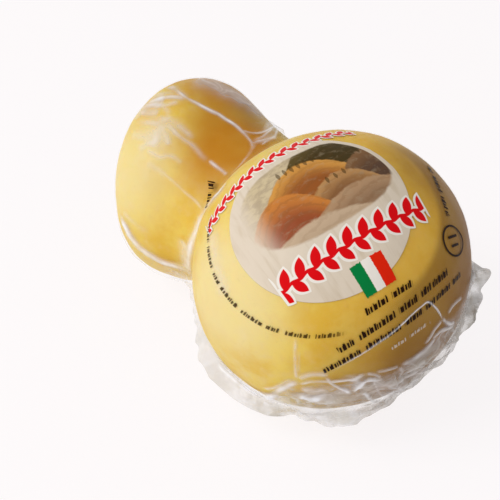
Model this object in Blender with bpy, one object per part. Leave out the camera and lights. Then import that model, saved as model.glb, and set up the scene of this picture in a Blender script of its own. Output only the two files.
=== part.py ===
"""Smoked scamorza, sealed in clear film.

One closed solid: the outer form of the filled pack. A round body and a smaller blunt head
lie on a table, joined by a broad neck that the film bridges. Low on the flanks the two
webs of film meet in a crumpled skirt that runs right round the cheese. Metres, +Z up, with
the origin on the table under the body and the head towards -X.
"""

import math

import bmesh
import bpy
import numpy as np

# Driving sizes of the cheese.
BODY_RADII = np.array([0.0365, 0.0390, 0.0378])     # along the cheese, across it, upright
FLAT_SAG = 0.0010                                    # how far the body settles into its flat
HEAD_CENTRE = np.array([-0.0615, 0.0040, 0.0282])
HEAD_HALF_LENGTH = 0.0131
HEAD_RADIUS = 0.0287
HEAD_BLUNTNESS = 2.5                                 # 2 is an ellipsoid, more is squarer
HEAD_TURN = math.radians(18.0)                       # the head's end looks a little to -Y
HEAD_TILT = math.radians(11.0)                       # and a little down
NECK_BODY_END = np.array([-0.0230, 0.0035, 0.0318])
NECK_HEAD_END = np.array([-0.0540, 0.0045, 0.0292])
NECK_RADII = (0.0218, 0.0255)                        # at the body and at the head

# Driving sizes of the film.
FILM_STAND_OFF = 0.0005
HOLLOW_BRIDGE = 0.0180                               # the film rounds off body against head
NECK_BRIDGE = 0.0090                                 # and the neck against both
FILM_PULL = 0.0012                                   # it lifts off just above the skirt,
PULL_ANGLE = math.radians(9.0)                       # over this much of the flank
SKIRT_THICKNESS = 0.0012
SKIRT_LEAST = 0.0014                                 # the edge stands at least this far off
SKIRT_DEPTH_ANGLE = math.radians(5.0)                # from the skirt's top down to its foot

# The path round the spine has four legs, each one unit long: the near side, the body's
# end, the far side and the head's end. Each line of the table is a place on that path with
# the skirt's root angle below the spine in degrees, its edge's reach from the spine and
# its edge's height.
PATH_LENGTH = 4.0
SKIRT_PLACES = np.array([
    (0.15, 27.0, 0.0215, 0.0130),
    (0.45, 31.0, 0.0180, 0.0145),
    (0.72, 35.0, 0.0318, 0.0130),
    (0.98, 36.0, 0.0365, 0.0120),
    (1.10, 36.0, 0.0355, 0.0115),
    (1.22, 34.0, 0.0350, 0.0110),
    (1.33, 28.0, 0.0325, 0.0115),
    (1.43, 22.0, 0.0300, 0.0125),
    (1.62, 22.0, 0.0305, 0.0130),
    (1.73, 27.0, 0.0380, 0.0135),
    (1.88, 31.0, 0.0495, 0.0165),
    (1.96, 35.0, 0.0495, 0.0130),
    (2.20, 36.0, 0.0400, 0.0120),
    (2.55, 33.0, 0.0270, 0.0120),
    (2.85, 30.0, 0.0300, 0.0115),
    (3.30, 29.0, 0.0200, 0.0120),
    (3.70, 28.0, 0.0185, 0.0130),
])
# Pleats of the skirt: how many there are round the pack, their height and their phase.
SKIRT_PLEATS = ((23, 0.0007, 0.4), (37, 0.0006, 2.1), (11, 0.0005, 4.0))

# How finely the surface is drawn.
SIDE_COLUMNS = 20
BODY_COLUMNS = 42
HEAD_COLUMNS = 26
UPPER_ROWS = 20
SKIRT_ROWS = 3
LOWER_ROWS = 7
HALVINGS = 40
LONGEST_RAY = 0.080
MERGE_DISTANCE = 1e-6

FILM_COLOUR = (0.86, 0.66, 0.29, 1.0)
FILM_ROUGHNESS = 0.28

BODY_CENTRE = np.array([0.0, 0.0, BODY_RADII[2] - FLAT_SAG])
SPINE_HEAD_END = np.array([HEAD_CENTRE[0], 0.0, HEAD_CENTRE[2]])
UP = np.array([0.0, 0.0, 1.0])


def clear_scene():
    """Remove every object of the open file."""
    for thing in list(bpy.data.objects):
        bpy.data.objects.remove(thing, do_unlink=True)


def soft_minimum(first, second, width):
    """The smaller of two distances, rounded off where they are within a width."""
    share = np.clip(0.5 + 0.5 * (second - first) / width, 0.0, 1.0)
    return second + (first - second) * share - width * share * (1.0 - share)


def distance_to_body(points):
    """Signed distance, near enough, to the body's ellipsoid."""
    local = points - BODY_CENTRE
    scaled = np.linalg.norm(local / BODY_RADII, axis=-1)
    return (scaled - 1.0) * BODY_RADII.min()


def distance_to_head(points):
    """Signed distance, near enough, to the blunt head, turned and tilted a little."""
    local = points - HEAD_CENTRE
    level = local[..., 0] * math.cos(HEAD_TURN) + local[..., 1] * math.sin(HEAD_TURN)
    across = local[..., 1] * math.cos(HEAD_TURN) - local[..., 0] * math.sin(HEAD_TURN)
    along = level * math.cos(HEAD_TILT) + local[..., 2] * math.sin(HEAD_TILT)
    upright = local[..., 2] * math.cos(HEAD_TILT) - level * math.sin(HEAD_TILT)
    length = np.abs(along) / HEAD_HALF_LENGTH
    ring = np.hypot(across, upright) / HEAD_RADIUS
    scaled = (length ** HEAD_BLUNTNESS + ring ** HEAD_BLUNTNESS) ** (1.0 / HEAD_BLUNTNESS)
    return (scaled - 1.0) * HEAD_HALF_LENGTH


def distance_to_neck(points):
    """Signed distance, near enough, to the neck, a bar that widens towards the head."""
    run = NECK_HEAD_END - NECK_BODY_END
    share = np.clip((points - NECK_BODY_END) @ run / (run @ run), 0.0, 1.0)
    nearest = NECK_BODY_END + share[..., None] * run
    radius = NECK_RADII[0] + (NECK_RADII[1] - NECK_RADII[0]) * share
    return np.linalg.norm(points - nearest, axis=-1) - radius


def distance_to_pack(points):
    """Signed distance to the tight film, with the hollows bridged and the base flat."""
    ends = soft_minimum(distance_to_body(points), distance_to_head(points), HOLLOW_BRIDGE)
    joined = soft_minimum(ends, distance_to_neck(points), NECK_BRIDGE)
    return np.maximum(joined - FILM_STAND_OFF, -points[..., 2])


def surface_points(starts, directions):
    """Where rays from inside the pack meet its surface, found by halving an interval."""
    near = np.zeros(directions.shape[:-1])
    far = np.full(directions.shape[:-1], LONGEST_RAY)
    for _ in range(HALVINGS):
        middle = 0.5 * (near + far)
        inside = distance_to_pack(starts + directions * middle[..., None]) < 0.0
        near = np.where(inside, middle, near)
        far = np.where(inside, far, middle)
    return starts + directions * far[..., None]


def path_round_spine():
    """Each column's place on the path, its point on the spine and its outward direction."""
    places = np.concatenate([
        np.arange(SIDE_COLUMNS) / SIDE_COLUMNS,
        1.0 + np.arange(BODY_COLUMNS) / BODY_COLUMNS,
        2.0 + np.arange(SIDE_COLUMNS) / SIDE_COLUMNS,
        3.0 + np.arange(HEAD_COLUMNS) / HEAD_COLUMNS,
    ])
    along = np.clip(places, 0.0, 1.0) - np.clip(places - 2.0, 0.0, 1.0)
    swing = np.clip(places - 1.0, 0.0, 1.0) + np.clip(places - 3.0, 0.0, 1.0)
    heading = math.pi * (swing - 0.5)
    spine = SPINE_HEAD_END + (BODY_CENTRE - SPINE_HEAD_END) * along[:, None]
    outward = np.stack([np.cos(heading), np.sin(heading), np.zeros_like(heading)], axis=-1)
    return places, spine, outward


def skirt_values(places):
    """Root angle, edge reach and edge height of the skirt, eased between its places."""
    full_turn = np.array([PATH_LENGTH, 0.0, 0.0, 0.0])
    table = np.vstack([SKIRT_PLACES[-1] - full_turn, SKIRT_PLACES, SKIRT_PLACES[0] + full_turn])
    after = np.searchsorted(table[:, 0], places, side="right")
    start, stop = table[after - 1], table[after]
    share = (places - start[:, 0]) / (stop[:, 0] - start[:, 0])
    eased = (share * share * (3.0 - 2.0 * share))[:, None]
    mixed = start[:, 1:] * (1.0 - eased) + stop[:, 1:] * eased
    return -np.radians(mixed[:, 0]), mixed[:, 1], mixed[:, 2]


def skirt_pleats(places):
    """Height of the pleats round the pack, a sum of a few zigzag waves."""
    turn = places * 2.0 * math.pi / PATH_LENGTH
    height = np.zeros_like(places)
    for count, size, phase in SKIRT_PLEATS:
        height += size * 2.0 / math.pi * np.arcsin(np.sin(count * turn + phase))
    return height


def ray_rows(spine, outward, angles):
    """Rows of surface points at given angles above the horizontal, one in each column."""
    directions = np.cos(angles)[..., None] * outward + np.sin(angles)[..., None] * UP
    return surface_points(np.broadcast_to(spine, directions.shape), directions)


def upper_rows(spine, outward, root):
    """The upper web, from the crest down to the skirt, where the film pulls away."""
    share = (np.arange(UPPER_ROWS + 1) / UPPER_ROWS)[:, None]
    angles = math.pi / 2.0 + (root - math.pi / 2.0) * share
    lift = FILM_PULL * np.exp((root - angles) / PULL_ANGLE) * share
    return ray_rows(spine, outward, angles) + lift[..., None] * outward


def lower_rows(spine, outward, root):
    """The lower web, from the skirt's foot in to the line under the spine."""
    share = (np.arange(LOWER_ROWS + 1) / LOWER_ROWS)[:, None]
    return ray_rows(spine, outward, root + (-math.pi / 2.0 - root) * share)


def skirt_edge(spine, outward, reach, height, pleats):
    """The skirt's outer edge, kept clear of the pack, and its angle from the spine."""
    arm = outward * (reach + pleats)[:, None] + UP * (height + pleats - spine[:, 2])[:, None]
    length = np.linalg.norm(arm, axis=-1, keepdims=True)
    direction = arm / length
    wall = np.linalg.norm(surface_points(spine, direction) - spine, axis=-1, keepdims=True)
    edge = spine + direction * np.maximum(length, wall + SKIRT_LEAST)
    return edge, np.arcsin(direction[:, 2])


def strip_rows(start, stop, pleats, share):
    """Rows of the skirt at given shares of the way, bellied by the pleats in between."""
    share = share[:, None, None]
    belly = pleats[:, None] * np.sin(math.pi * share) * UP
    return start + (stop - start) * share + belly


def pack_grid():
    """All rows of the pack, from the crest over the skirt's edge to the underside."""
    places, spine, outward = path_round_spine()
    root, reach, height = skirt_values(places)
    pleats = skirt_pleats(places)
    edge, edge_angle = skirt_edge(spine, outward, reach, height, pleats)
    upper = upper_rows(spine, outward, root)
    lower = lower_rows(spine, outward, np.minimum(root, edge_angle) - SKIRT_DEPTH_ANGLE)
    shares = np.arange(SKIRT_ROWS + 1) / SKIRT_ROWS
    top = strip_rows(upper[-1], edge, pleats, shares[1:])
    bottom = strip_rows(edge - SKIRT_THICKNESS * UP, lower[0], pleats, shares[:-1])
    return np.concatenate([upper, top, bottom, lower])


def grid_mesh(name, grid):
    """A closed mesh from a grid whose columns wrap round and whose end rows fold shut."""
    rows, columns = grid.shape[:2]
    mesh = bmesh.new()
    points = [[mesh.verts.new(point) for point in row] for row in grid]
    for row in range(rows - 1):
        for column in range(columns):
            beside = (column + 1) % columns
            corners = (points[row][column], points[row + 1][column],
                       points[row + 1][beside], points[row][beside])
            mesh.faces.new(corners)
    bmesh.ops.remove_doubles(mesh, verts=mesh.verts, dist=MERGE_DISTANCE)
    bmesh.ops.triangulate(mesh, faces=mesh.faces)
    bmesh.ops.recalc_face_normals(mesh, faces=mesh.faces)
    data = bpy.data.meshes.new(name)
    mesh.to_mesh(data)
    mesh.free()
    data.shade_smooth()
    return data


def film_material():
    """Clear film over yellow cheese, as one finish for the plain solid."""
    material = bpy.data.materials.new("film_over_cheese")
    material.use_nodes = True
    shader = material.node_tree.nodes["Principled BSDF"]
    shader.inputs["Base Color"].default_value = FILM_COLOUR
    shader.inputs["Roughness"].default_value = FILM_ROUGHNESS
    shader.inputs["Metallic"].default_value = 0.0
    return material


def make_pack():
    """The filled pack as one object."""
    data = grid_mesh("film_pack", pack_grid())
    data.materials.append(film_material())
    pack = bpy.data.objects.new("film_pack", data)
    bpy.context.collection.objects.link(pack)
    return pack


clear_scene()
make_pack()
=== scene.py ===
"""Looks of a smoked scamorza sealed in clear printed film.

The frame holds the filled pack as one plain solid. Here it becomes what it is: a smoked
cheese with a round body, a neck and a blunt head, and round it two webs of clear film. The
upper web carries the print. Both webs meet in a crumpled skirt low on the flanks.

All forms are grids of points, rows by columns. A column stands at a place on a closed path
round the cheese's spine, and a row is an angle seen from the spine or a share of the skirt.
"""

import math

import bmesh
import bpy
import numpy as np
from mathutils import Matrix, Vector
from mathutils.bvhtree import BVHTree


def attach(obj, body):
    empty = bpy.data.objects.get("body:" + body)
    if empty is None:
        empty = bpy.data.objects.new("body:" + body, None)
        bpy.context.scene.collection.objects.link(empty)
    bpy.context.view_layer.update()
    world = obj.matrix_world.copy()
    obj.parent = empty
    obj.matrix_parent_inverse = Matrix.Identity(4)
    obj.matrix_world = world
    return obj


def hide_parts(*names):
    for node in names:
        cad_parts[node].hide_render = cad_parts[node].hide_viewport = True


bl_info = {
    "name": "Smoked scamorza in clear film",
    "version": (1, 0, 0),
    "blender": (4, 5, 0),
    "location": "3D View > Sidebar > Scamorza",
    "description": "Makes a smoked scamorza sealed in clear printed film, and its stage",
    "category": "Add Mesh",
}

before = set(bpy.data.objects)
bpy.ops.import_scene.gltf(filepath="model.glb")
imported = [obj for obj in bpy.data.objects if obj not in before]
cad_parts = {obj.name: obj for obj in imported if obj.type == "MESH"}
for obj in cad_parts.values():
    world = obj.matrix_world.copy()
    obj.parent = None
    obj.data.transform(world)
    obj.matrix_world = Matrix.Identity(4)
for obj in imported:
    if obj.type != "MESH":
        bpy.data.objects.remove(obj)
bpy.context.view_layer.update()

MM = 0.001


def colour(red, green, blue):
    """A display colour, each part 0 to 255, as the linear colour that a shader takes. The
    display's curve is undone: it is straight near black and a power above."""
    parts = np.array([red, green, blue]) / 255.0
    linear = np.where(parts <= 0.04045, parts / 12.92, ((parts + 0.055) / 1.055) ** 2.4)
    return (*[float(part) for part in linear], 1.0)


def in_mm(numbers):
    """Lengths in mm, as the metres in which the scene is built."""
    return tuple(number * MM for number in numbers)


# ---------------------------------------------------------------------------- camera
# The camera, fitted to the photograph: where it stands and which way it looks, its lens and
# its sensor's width in mm, and the photograph's side in pixels.
EYE = in_mm((191.5, -202.1, 302.8))
AIM = (-0.54359, 0.48900, -0.68219)
LENS, SENSOR = 101.95, 36.0
PHOTO_SIDE = 500.0

# ---------------------------------------------------------------------------- cheese sizes
# The cheese, the same as in the frame but for the head, which was fitted to the photograph
# again: it stands about 1 mm farther out and is a little fatter, blunter and more tilted.
BODY_RADII = np.array([36.5, 39.0, 37.8]) * MM
FLAT_SAG = 1.0 * MM
HEAD_CENTRE = np.array([-62.8, 3.5, 28.4]) * MM
HEAD_HALF_LENGTH = 13.3 * MM
HEAD_RADIUS = 29.1 * MM
HEAD_BLUNTNESS = 2.62
HEAD_TURN = math.radians(17.5)
HEAD_TILT = math.radians(14.5)
NECK_BODY_END = np.array([-23.0, 3.5, 31.8]) * MM
NECK_HEAD_END = np.array([-54.0, 4.5, 29.2]) * MM
NECK_RADII = (21.8 * MM, 25.5 * MM)
BODY_CENTRE = np.array([0.0, 0.0, BODY_RADII[2] - FLAT_SAG])
SPINE_HEAD_END = np.array([HEAD_CENTRE[0], 0.0, HEAD_CENTRE[2]])
UP = np.array([0.0, 0.0, 1.0])

# How tightly the cheese's own forms run into each other, how far it stays inside the frame's
# form, and its relief: the length of each set of waves, their height and how many there are.
SHOULDER_BRIDGE = 3.5 * MM
COLLAR_BRIDGE = 9.0 * MM
CHEESE_FLAT = 0.4 * MM
CHEESE_INSET = 0.05 * MM
CHEESE_RELIEF = ((30.0 * MM, 0.14 * MM, 9), (11.0 * MM, 0.05 * MM, 11), (3.6 * MM, 0.016 * MM, 13))
RELIEF_SEED = 5
RELIEF_START = (0.5 * MM, 6.0 * MM)  # height above the floor over which the relief sets in
WAVE_STRETCH = (0.7, 1.4)            # how much a wave's length may differ from its set's

# ---------------------------------------------------------------------------- film sizes
# The film, in the frame's forms, but with a thinner skirt whose edge was fitted to the
# photograph again.
FILM_STAND_OFF = 0.5 * MM
HOLLOW_BRIDGE = 18.0 * MM
NECK_BRIDGE = 9.0 * MM
FILM_PULL = 0.5 * MM
PULL_ANGLE = math.radians(9.0)
SKIRT_LEAST = 0.45 * MM
SKIRT_DEPTH_ANGLE = math.radians(5.0)
PATH_LENGTH = 4.0                    # the path's four legs, each 1 long
# Place on the path, root angle below the spine in degrees, reach and height of the edge in mm.
SKIRT_PLACES = np.array([
    (0.10, 27.0, 20.8, 13.0),
    (0.20, 27.5, 19.8, 13.1),
    (0.29, 28.5, 17.6, 13.6),
    (0.38, 30.0, 18.8, 14.2),
    (0.47, 31.0, 22.3, 14.5),
    (0.53, 32.0, 25.0, 14.2),
    (0.58, 33.0, 27.0, 13.8),
    (0.67, 34.5, 31.4, 13.1),
    (0.76, 35.0, 35.0, 12.9),
    (0.87, 36.0, 36.6, 12.3),
    (1.00, 36.0, 36.5, 12.0),
    (1.09, 36.0, 35.2, 11.5),
    (1.17, 35.0, 31.3, 11.0),
    (1.25, 33.0, 33.2, 11.0),
    (1.32, 28.0, 33.2, 11.5),
    (1.40, 23.0, 31.4, 12.2),
    (1.50, 22.0, 28.9, 12.7),
    (1.59, 22.0, 30.4, 13.0),
    (1.67, 24.0, 31.2, 13.2),
    (1.73, 27.0, 36.4, 13.5),
    (1.79, 29.0, 42.0, 15.0),
    (1.85, 30.0, 46.1, 16.5),
    (1.89, 31.0, 52.1, 17.5),
    (1.96, 35.0, 49.5, 14.0),
    (2.20, 36.0, 40.0, 12.0),
    (2.55, 33.0, 27.0, 12.0),
    (2.85, 30.0, 30.0, 11.5),
    (3.30, 29.0, 20.0, 12.0),
    (3.70, 28.0, 18.5, 13.0),
])

# Place on the path, the angle in degrees at which the film leaves the flank and hangs as a
# loose apron, how strongly apron and skirt are crumpled there, and how milky they are.
APRON_PLACES = np.array([
    (0.02, 4.0, 0.15, 0.12),
    (0.20, -12.0, 0.12, 0.12),
    (0.36, -18.0, 0.12, 0.45),
    (0.50, -21.0, 0.12, 0.75),
    (0.62, -24.0, 0.10, 0.95),
    (0.80, -22.0, 0.10, 1.05),
    (1.00, -24.0, 0.12, 1.05),
    (1.09, -23.0, 0.35, 0.95),
    (1.17, -6.0, 0.75, 0.72),
    (1.25, -1.0, 0.85, 0.66),
    (1.33, -1.0, 0.85, 0.62),
    (1.40, -3.0, 0.80, 0.58),
    (1.47, 3.0, 0.75, 0.58),
    (1.56, 8.5, 0.75, 0.56),
    (1.70, 9.0, 0.75, 0.62),
    (1.80, 7.0, 0.78, 0.68),
    (1.88, 4.0, 0.50, 0.62),
    (1.95, 0.0, 0.55, 0.98),
    (2.20, -10.0, 0.70, 0.65),
    (2.70, -16.0, 0.55, 0.50),
    (3.40, -14.0, 0.35, 0.40),
    (3.80, -6.0, 0.18, 0.22),
])
FILM_GAP = 0.15 * MM                 # the film never comes nearer to the cheese
FILM_SLACK = 0.8 * MM                # less off the cheese than this, the film clings to it
SLACK_ENDS = (2.0 * MM, 5.0 * MM)    # over wider gaps than these, it keeps its full form
CLING_BLEND = 0.7 * MM
CLING_REACH = 1.5 * MM               # the film follows the cheese's relief nearer than this
APRON_LIFT = 0.6 * MM                # how far the apron hangs off the flank
APRON_FULL = math.radians(18.0)      # where it is this long or longer
APRON_LEAST = math.radians(2.0)
# Lengths of the crumpled folds, their height as a share of their length, how far their lines
# stray from the edge's direction, how far they kink and how long a kink is, in fold lengths.
FOLD_LENGTHS = np.array([15.0, 10.5, 7.6, 5.4, 3.9]) * MM
FOLD_SLOPE = 0.085
FOLD_STRAY = 0.55
FOLD_BEND = 0.40
FOLD_KINK = 2.6
FOLD_LINE = (0.88, 1.0)              # a fold's milky line, a painted highlight, starts and is full at these heights
HIGHLIGHT_MILK = 0.55                     # how milky the folds' lines of painted highlight are
SKIRT_MILK = (0.86, 0.36)            # milkiness of the apron, and what the skirt has more
FOLD_SEEDS = (11, 23, 37)            # for both webs, the upper web and the lower web
OWN_FOLDS = 0.8                      # length of the apron's own folds beside the shared ones
SHARED_FOLDS, SHARED_LINES = 0.3, 0.4                # how much of the shared ones the apron has
HANG_SHIFT = 0.1                     # how far folds shift the line from which the apron hangs
# Places down the upper web, with 0 where the apron leaves the flank, 1 at the skirt's root and
# 2 at its edge: where a long and a short apron come to hang, where the skirt's milkiness and
# the shared folds set in, where the folds turn from the pack's direction to the skirt's, and
# down to where they only stand out.
LONG_HANG, SHORT_HANG = (0.02, 0.30), (1.0, 1.5)
SKIRT_START, SEAL = (0.75, 1.25), (1.2, 2.0)
FOLD_TURN, OUTWARD_FOLDS = (0.9, 1.3), 1.1
# The same for the lower web, with 0 at the root and 1 at the edge.
LOWER_HANG, LOWER_SEAL, LOWER_TURN = (0.0, 0.4), (0.3, 1.0), (0.5, 1.0)
# Milkiness of loose film: where it lies flat, what a fold adds and how high such a fold is in mm,
# the least and the most of that, and the most of all. The folds' hollows stay clearer than their
# tops, as painted shade in the hollows.
FLAT_HAZE, FOLD_HAZE, FOLD_HEIGHT, HAZE_RANGE, MOST_HAZE = 0.82, 0.5, 3.0, (0.6, 1.0), 1.05
# Pleats of the edge: how many go round, their height and their phase.
PLEATS = ((23, 0.4 * MM, 0.4), (37, 0.45 * MM, 2.1), (11, 0.2 * MM, 4.0), (61, 0.35 * MM, 1.3))
PLEAT_RISE = 0.6

# Creases and folds that stand in the film: the places they run through, in pixels of the
# photograph, how high they stand and their half width in mm, and how milky they are.
CREASES = {
    "head_ridge": (((170, 87), (176, 89.5), (181, 94), (186, 98), (192, 101), (198, 104),
        (205, 108), (212, 111.5), (219, 114.5), (225, 119), (232, 123), (238, 127.5), (242, 131.5),
        (247, 136), (251, 141)), 0.22, 0.62, 0.80),
    "head_ridge_upper": (((168, 86), (173, 88), (178, 91.5), (183, 96), (188, 99.5)),
        0.05, 1.20, 0.45),
    "head_ridge_side": (((147, 103.5), (153, 100.5), (160, 98.5), (167, 97), (174, 96.8),
        (181, 97.8), (187, 100)), 0.04, 1.05, 0.52),
    "head_ridge_top": (((152, 97), (160, 94.5), (168, 93), (176, 93)), 0.00, 1.60, 0.24),
    "vein_a": (((136, 119), (141, 121), (148, 122.5), (156, 124), (163, 122), (170, 121),
        (177, 124.5), (183, 129.5), (190, 136), (194, 141)), 0.00, 1.00, 0.32),
    "vein_b": (((140, 109), (146, 106), (153, 104.5), (160, 105.5), (167, 105), (174, 102.5),
        (180, 101)), 0.00, 1.05, 0.30),
    "vein_c": (((163, 103), (165, 107), (168, 112), (168, 118), (165, 123), (162, 126)),
        0.00, 0.95, 0.22),
    "vein_d": (((168, 120), (164, 123), (159, 129), (157, 135), (154, 141), (148, 144.5),
        (142, 148), (137, 150)), 0.00, 1.20, 0.32),
    "vein_e": (((160, 122), (161, 126), (163, 131), (165.5, 136), (168, 142), (169, 146)),
        0.00, 0.85, 0.30),
    "vein_f": (((166, 120), (169, 124), (173, 130), (178, 135), (184, 139.5), (190, 143.5),
        (196, 149), (202, 156), (210, 161)), 0.00, 0.75, 0.34),
    "vein_g": (((145, 149), (149, 151), (155, 154.5), (161, 157), (168, 155.5), (174, 157.5),
        (179, 161), (183, 164)), 0.00, 0.75, 0.28),
    "vein_h": (((134, 121), (137, 117), (141, 115), (147, 114), (154, 113), (160, 114)),
        0.00, 1.50, 0.28),
    "vein_i": (((146, 163), (150, 165), (155, 168), (161, 172), (166, 176)), 0.00, 0.85, 0.18),
    "vein_j": (((131, 135), (136, 135), (141, 136), (148, 138), (153, 139)), 0.00, 1.40, 0.18),
    "long_bright": (((208, 159.5), (215, 165.5), (222, 170.8), (227, 175)), 0.15, 0.50, 0.55),
    "low_faint": (((152.9, 164.3), (162, 172), (171.4, 180), (180, 188), (187, 194.3), (194, 199.5),
        (199, 205), (203, 212)), 0.08, 0.44, 0.22),
    "flange": (((120.5, 213), (122.5, 220), (125.5, 226), (129, 233), (133.5, 240), (139, 246.5),
        (145, 251.5), (152, 256), (159, 260), (166, 263), (173, 265), (180, 267), (187, 270)),
        0.40, 1.25, 0.86),
    "flange_inner": (((122, 211), (128, 217), (134, 223), (140, 228), (150, 232)),
        0.10, 0.80, 0.20),
    "valley_down": (((203, 212), (199.5, 222), (196, 232), (192, 240), (189, 250), (188, 262),
        (190, 272)), 0.00, 1.60, 0.30),
    "valley_up": (((203, 211), (209, 203), (216, 195), (222, 188), (228, 181)), 0.10, 0.70, 0.45),
    "shoulder_edge": (((232, 173), (240, 165), (246, 158), (251, 151), (254, 145), (258, 141)),
        0.03, 0.60, 0.30),
    "web_a": (((240, 130), (246, 132), (252, 133.5), (258, 134), (265, 134), (271, 132.8),
        (275, 131)), 0.40, 0.40, 0.55),
    "web_b": (((256, 139.5), (262, 137.5), (266, 135.5), (271, 134)), 0.20, 0.38, 0.57),
    "web_c": (((250, 141), (254, 143.5), (259, 141.5), (265, 140.5), (272, 139.5), (277, 138.5)),
        0.40, 0.48, 0.62),
    "web_d": (((274.5, 131.5), (274.8, 136), (274, 141)), 0.20, 0.40, 0.45),
    "web_e": (((279, 131), (284, 134)), 0.20, 0.57, 0.46),
    "web_f": (((243, 133), (247, 137), (251, 142), (253, 148)), 0.25, 0.46, 0.52),
    "web_g": (((262, 145), (266, 142), (270, 140)), 0.20, 0.34, 0.63),
    "front_fold": (((295.5, 336), (295.2, 345), (295, 352), (295, 360), (295.3, 368), (296, 375),
        (296.5, 380)), 0.16, 0.40, 0.42),
    "front_fold_side": (((298.5, 350), (298.8, 358), (299, 366), (298.6, 373)), 0.08, 0.33, 0.20),
    "shoulder_line": (((327.5, 373.7), (339, 367), (351, 360), (361, 354.5), (370, 348.7),
        (381, 341), (387, 337), (395, 330.5), (405, 321.5), (410, 316.5), (417, 310), (422, 306),
        (426, 302.6), (429, 302.2), (433, 305), (437, 309.5), (440, 314), (442, 318), (445, 321)),
        0.12, 0.19, 0.95),
    "band_upper": (((298, 379), (304, 376.5), (311, 374.5), (320, 374.3), (330, 375.5)),
        0.24, 0.89, 0.42),
    "band_left": (((299, 380), (290, 384), (282, 388), (275, 393), (268, 398), (262, 401)),
        0.40, 1.01, 0.79),
    "band_left_top": (((293, 379), (286, 381.5), (280, 385), (272, 388), (262, 388.5)),
        0.24, 0.57, 0.51),
    "band_middle": (((297, 384.5), (304, 383), (312, 381.3), (322, 381), (332, 381.5), (343, 380.5),
        (352, 379.5), (360, 376), (368, 373)), 0.32, 0.51, 0.59),
    "band_right": (((366, 373), (375, 374.5), (381, 378)), 0.24, 0.51, 0.46),
    "band_far": (((375, 372), (386, 370), (393, 368), (399, 366)), 0.32, 0.51, 0.61),
    "cross_a": (((326, 376), (331, 383), (337, 386.5), (344, 390), (351, 394)), 0.32, 0.48, 0.71),
    "cross_b": (((352, 392.5), (357, 388.5), (362, 384), (368, 380.5), (376, 380), (385, 377)),
        0.32, 0.57, 0.56),
    "apron_a": (((399, 366), (402, 372), (398, 378)), 0.24, 0.51, 0.40),
    "apron_b": (((399, 366), (408, 361.5), (416, 356), (424, 350), (431, 343), (436, 336)),
        0.32, 0.63, 0.47),
    "apron_c": (((404, 374), (412, 369), (420, 364), (426, 360)), 0.32, 0.57, 0.46),
    "apron_d": (((386, 388), (394, 384), (402, 380), (412, 374), (424, 368)), 0.32, 0.63, 0.40),
    "apron_e": (((362, 393.5), (366, 394), (370, 398), (374, 403)), 0.32, 0.45, 0.51),
    "apron_f": (((398, 390), (400, 384), (404, 380)), 0.24, 0.51, 0.40),
    "right_a": (((442, 318), (446, 322), (451, 324), (455, 322)), 0.32, 0.45, 0.56),
    "right_b": (((442, 320), (438, 325), (434, 330), (430, 337), (424, 345)), 0.32, 0.51, 0.46),
    "right_c": (((455, 323), (449, 328), (442, 330), (437, 334), (431, 340)), 0.32, 0.57, 0.52),
    "right_d": (((448, 314), (451, 308), (456, 302), (462, 297)), 0.32, 0.51, 0.40),
    "right_e": (((472, 264), (474, 273), (473, 284)), 0.32, 0.51, 0.40),
    "right_f": (((451, 329), (455, 333)), 0.24, 0.51, 0.36),
    "left_ridge": (((222, 362.5), (232, 372), (243, 380.5), (252, 388), (260, 394), (267, 400)),
        0.40, 0.63, 0.63),
    "left_ridge_outer": (((217, 362), (224, 370.5), (235, 380), (247, 388.5), (256, 394.5),
        (266, 401)), 0.32, 0.53, 0.51),
    "membrane": (((262, 124), (268, 129.5), (275, 134), (282, 137.5)), 2.10, 4.20, 0.06),
    "right_bulge": (((440, 180), (452, 198), (460, 216), (465, 234), (468, 250)), 0.60, 3.20, 0.00),
    "lump_upper": (((301, 391), (308, 389), (316, 390), (322, 389), (330, 388), (336, 389)),
        0.40, 1.10, 0.56),
    "lump_lower": (((300, 393), (306, 398), (316, 399), (322, 396), (330, 394)), 0.32, 1.10, 0.56),
    "bottom_a": (((285, 403), (293, 408), (300, 412), (305, 416)), 0.32, 0.51, 0.40),
    "bottom_b": (((306, 412), (312, 414), (318, 410), (322, 415)), 0.32, 0.51, 0.40),
    "bottom_c": (((292, 396), (298, 401), (306, 404), (316, 405)), 0.32, 0.57, 0.40),
}
CREASE_STEPS = 3                     # straight pieces between two of a crease's points
CREASE_FADE = 0.15                   # the share of its length over which a crease's end fades
CREASE_DEPTH = 5.0 * MM              # how far above or below the film its line may lie
CREASE_REACH = 4.0                   # where a crease stops, in half widths
CREASE_MOTTLE = ((9.0 * MM, 0.28, 9), (3.2 * MM, 0.10, 9))
MOTTLE_SEED = 3
MOTTLE_RANGE = (0.3, 1.3)

# Veils, where the film clouds without a fold: places in pixels, half width in mm, milkiness.
VEILS = {
    "head_far_side": (((190, 79.5), (203, 80.5), (217, 85), (229, 91), (240, 97), (249, 103.5),
        (258, 112), (267, 120)), 5.00, 0.52),
    "neck_web": (((262, 128), (270, 131), (278, 133), (286, 137)), 2.60, 0.42),
    "neck_web_low": (((252, 139), (260, 141), (268, 139), (274, 137)), 1.30, 0.24),
    "head_upper_left": (((139, 116), (146, 108), (156, 102), (166, 98)), 3.60, 0.34),
    "head_middle": (((148, 148), (156, 136), (163, 124), (166, 114)), 4.00, 0.26),
    "valley": (((228, 182), (216, 196), (206, 209), (199, 222), (195, 234), (190, 248), (187, 262),
        (190, 276)), 1.90, 0.42),
    "neck_low": (((185, 240), (184, 252), (186, 264), (190, 278)), 2.20, 0.40),
    "body_right_band": (((425, 166), (438, 185), (447, 205), (454, 225), (458, 245), (458, 262),
        (454, 280), (448, 296)), 3.20, 0.02),
    "body_right_edge": (((431, 171), (445, 192), (456, 211), (463, 230), (467, 248), (468, 262)),
        1.30, 0.06),
    "body_upper_left": (((212, 228), (214, 250), (219, 275), (226, 300)), 2.40, 0.22),
}
GAP_HAZE = 0.05                      # haze where the film bridges a hollow this deep or deeper
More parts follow.
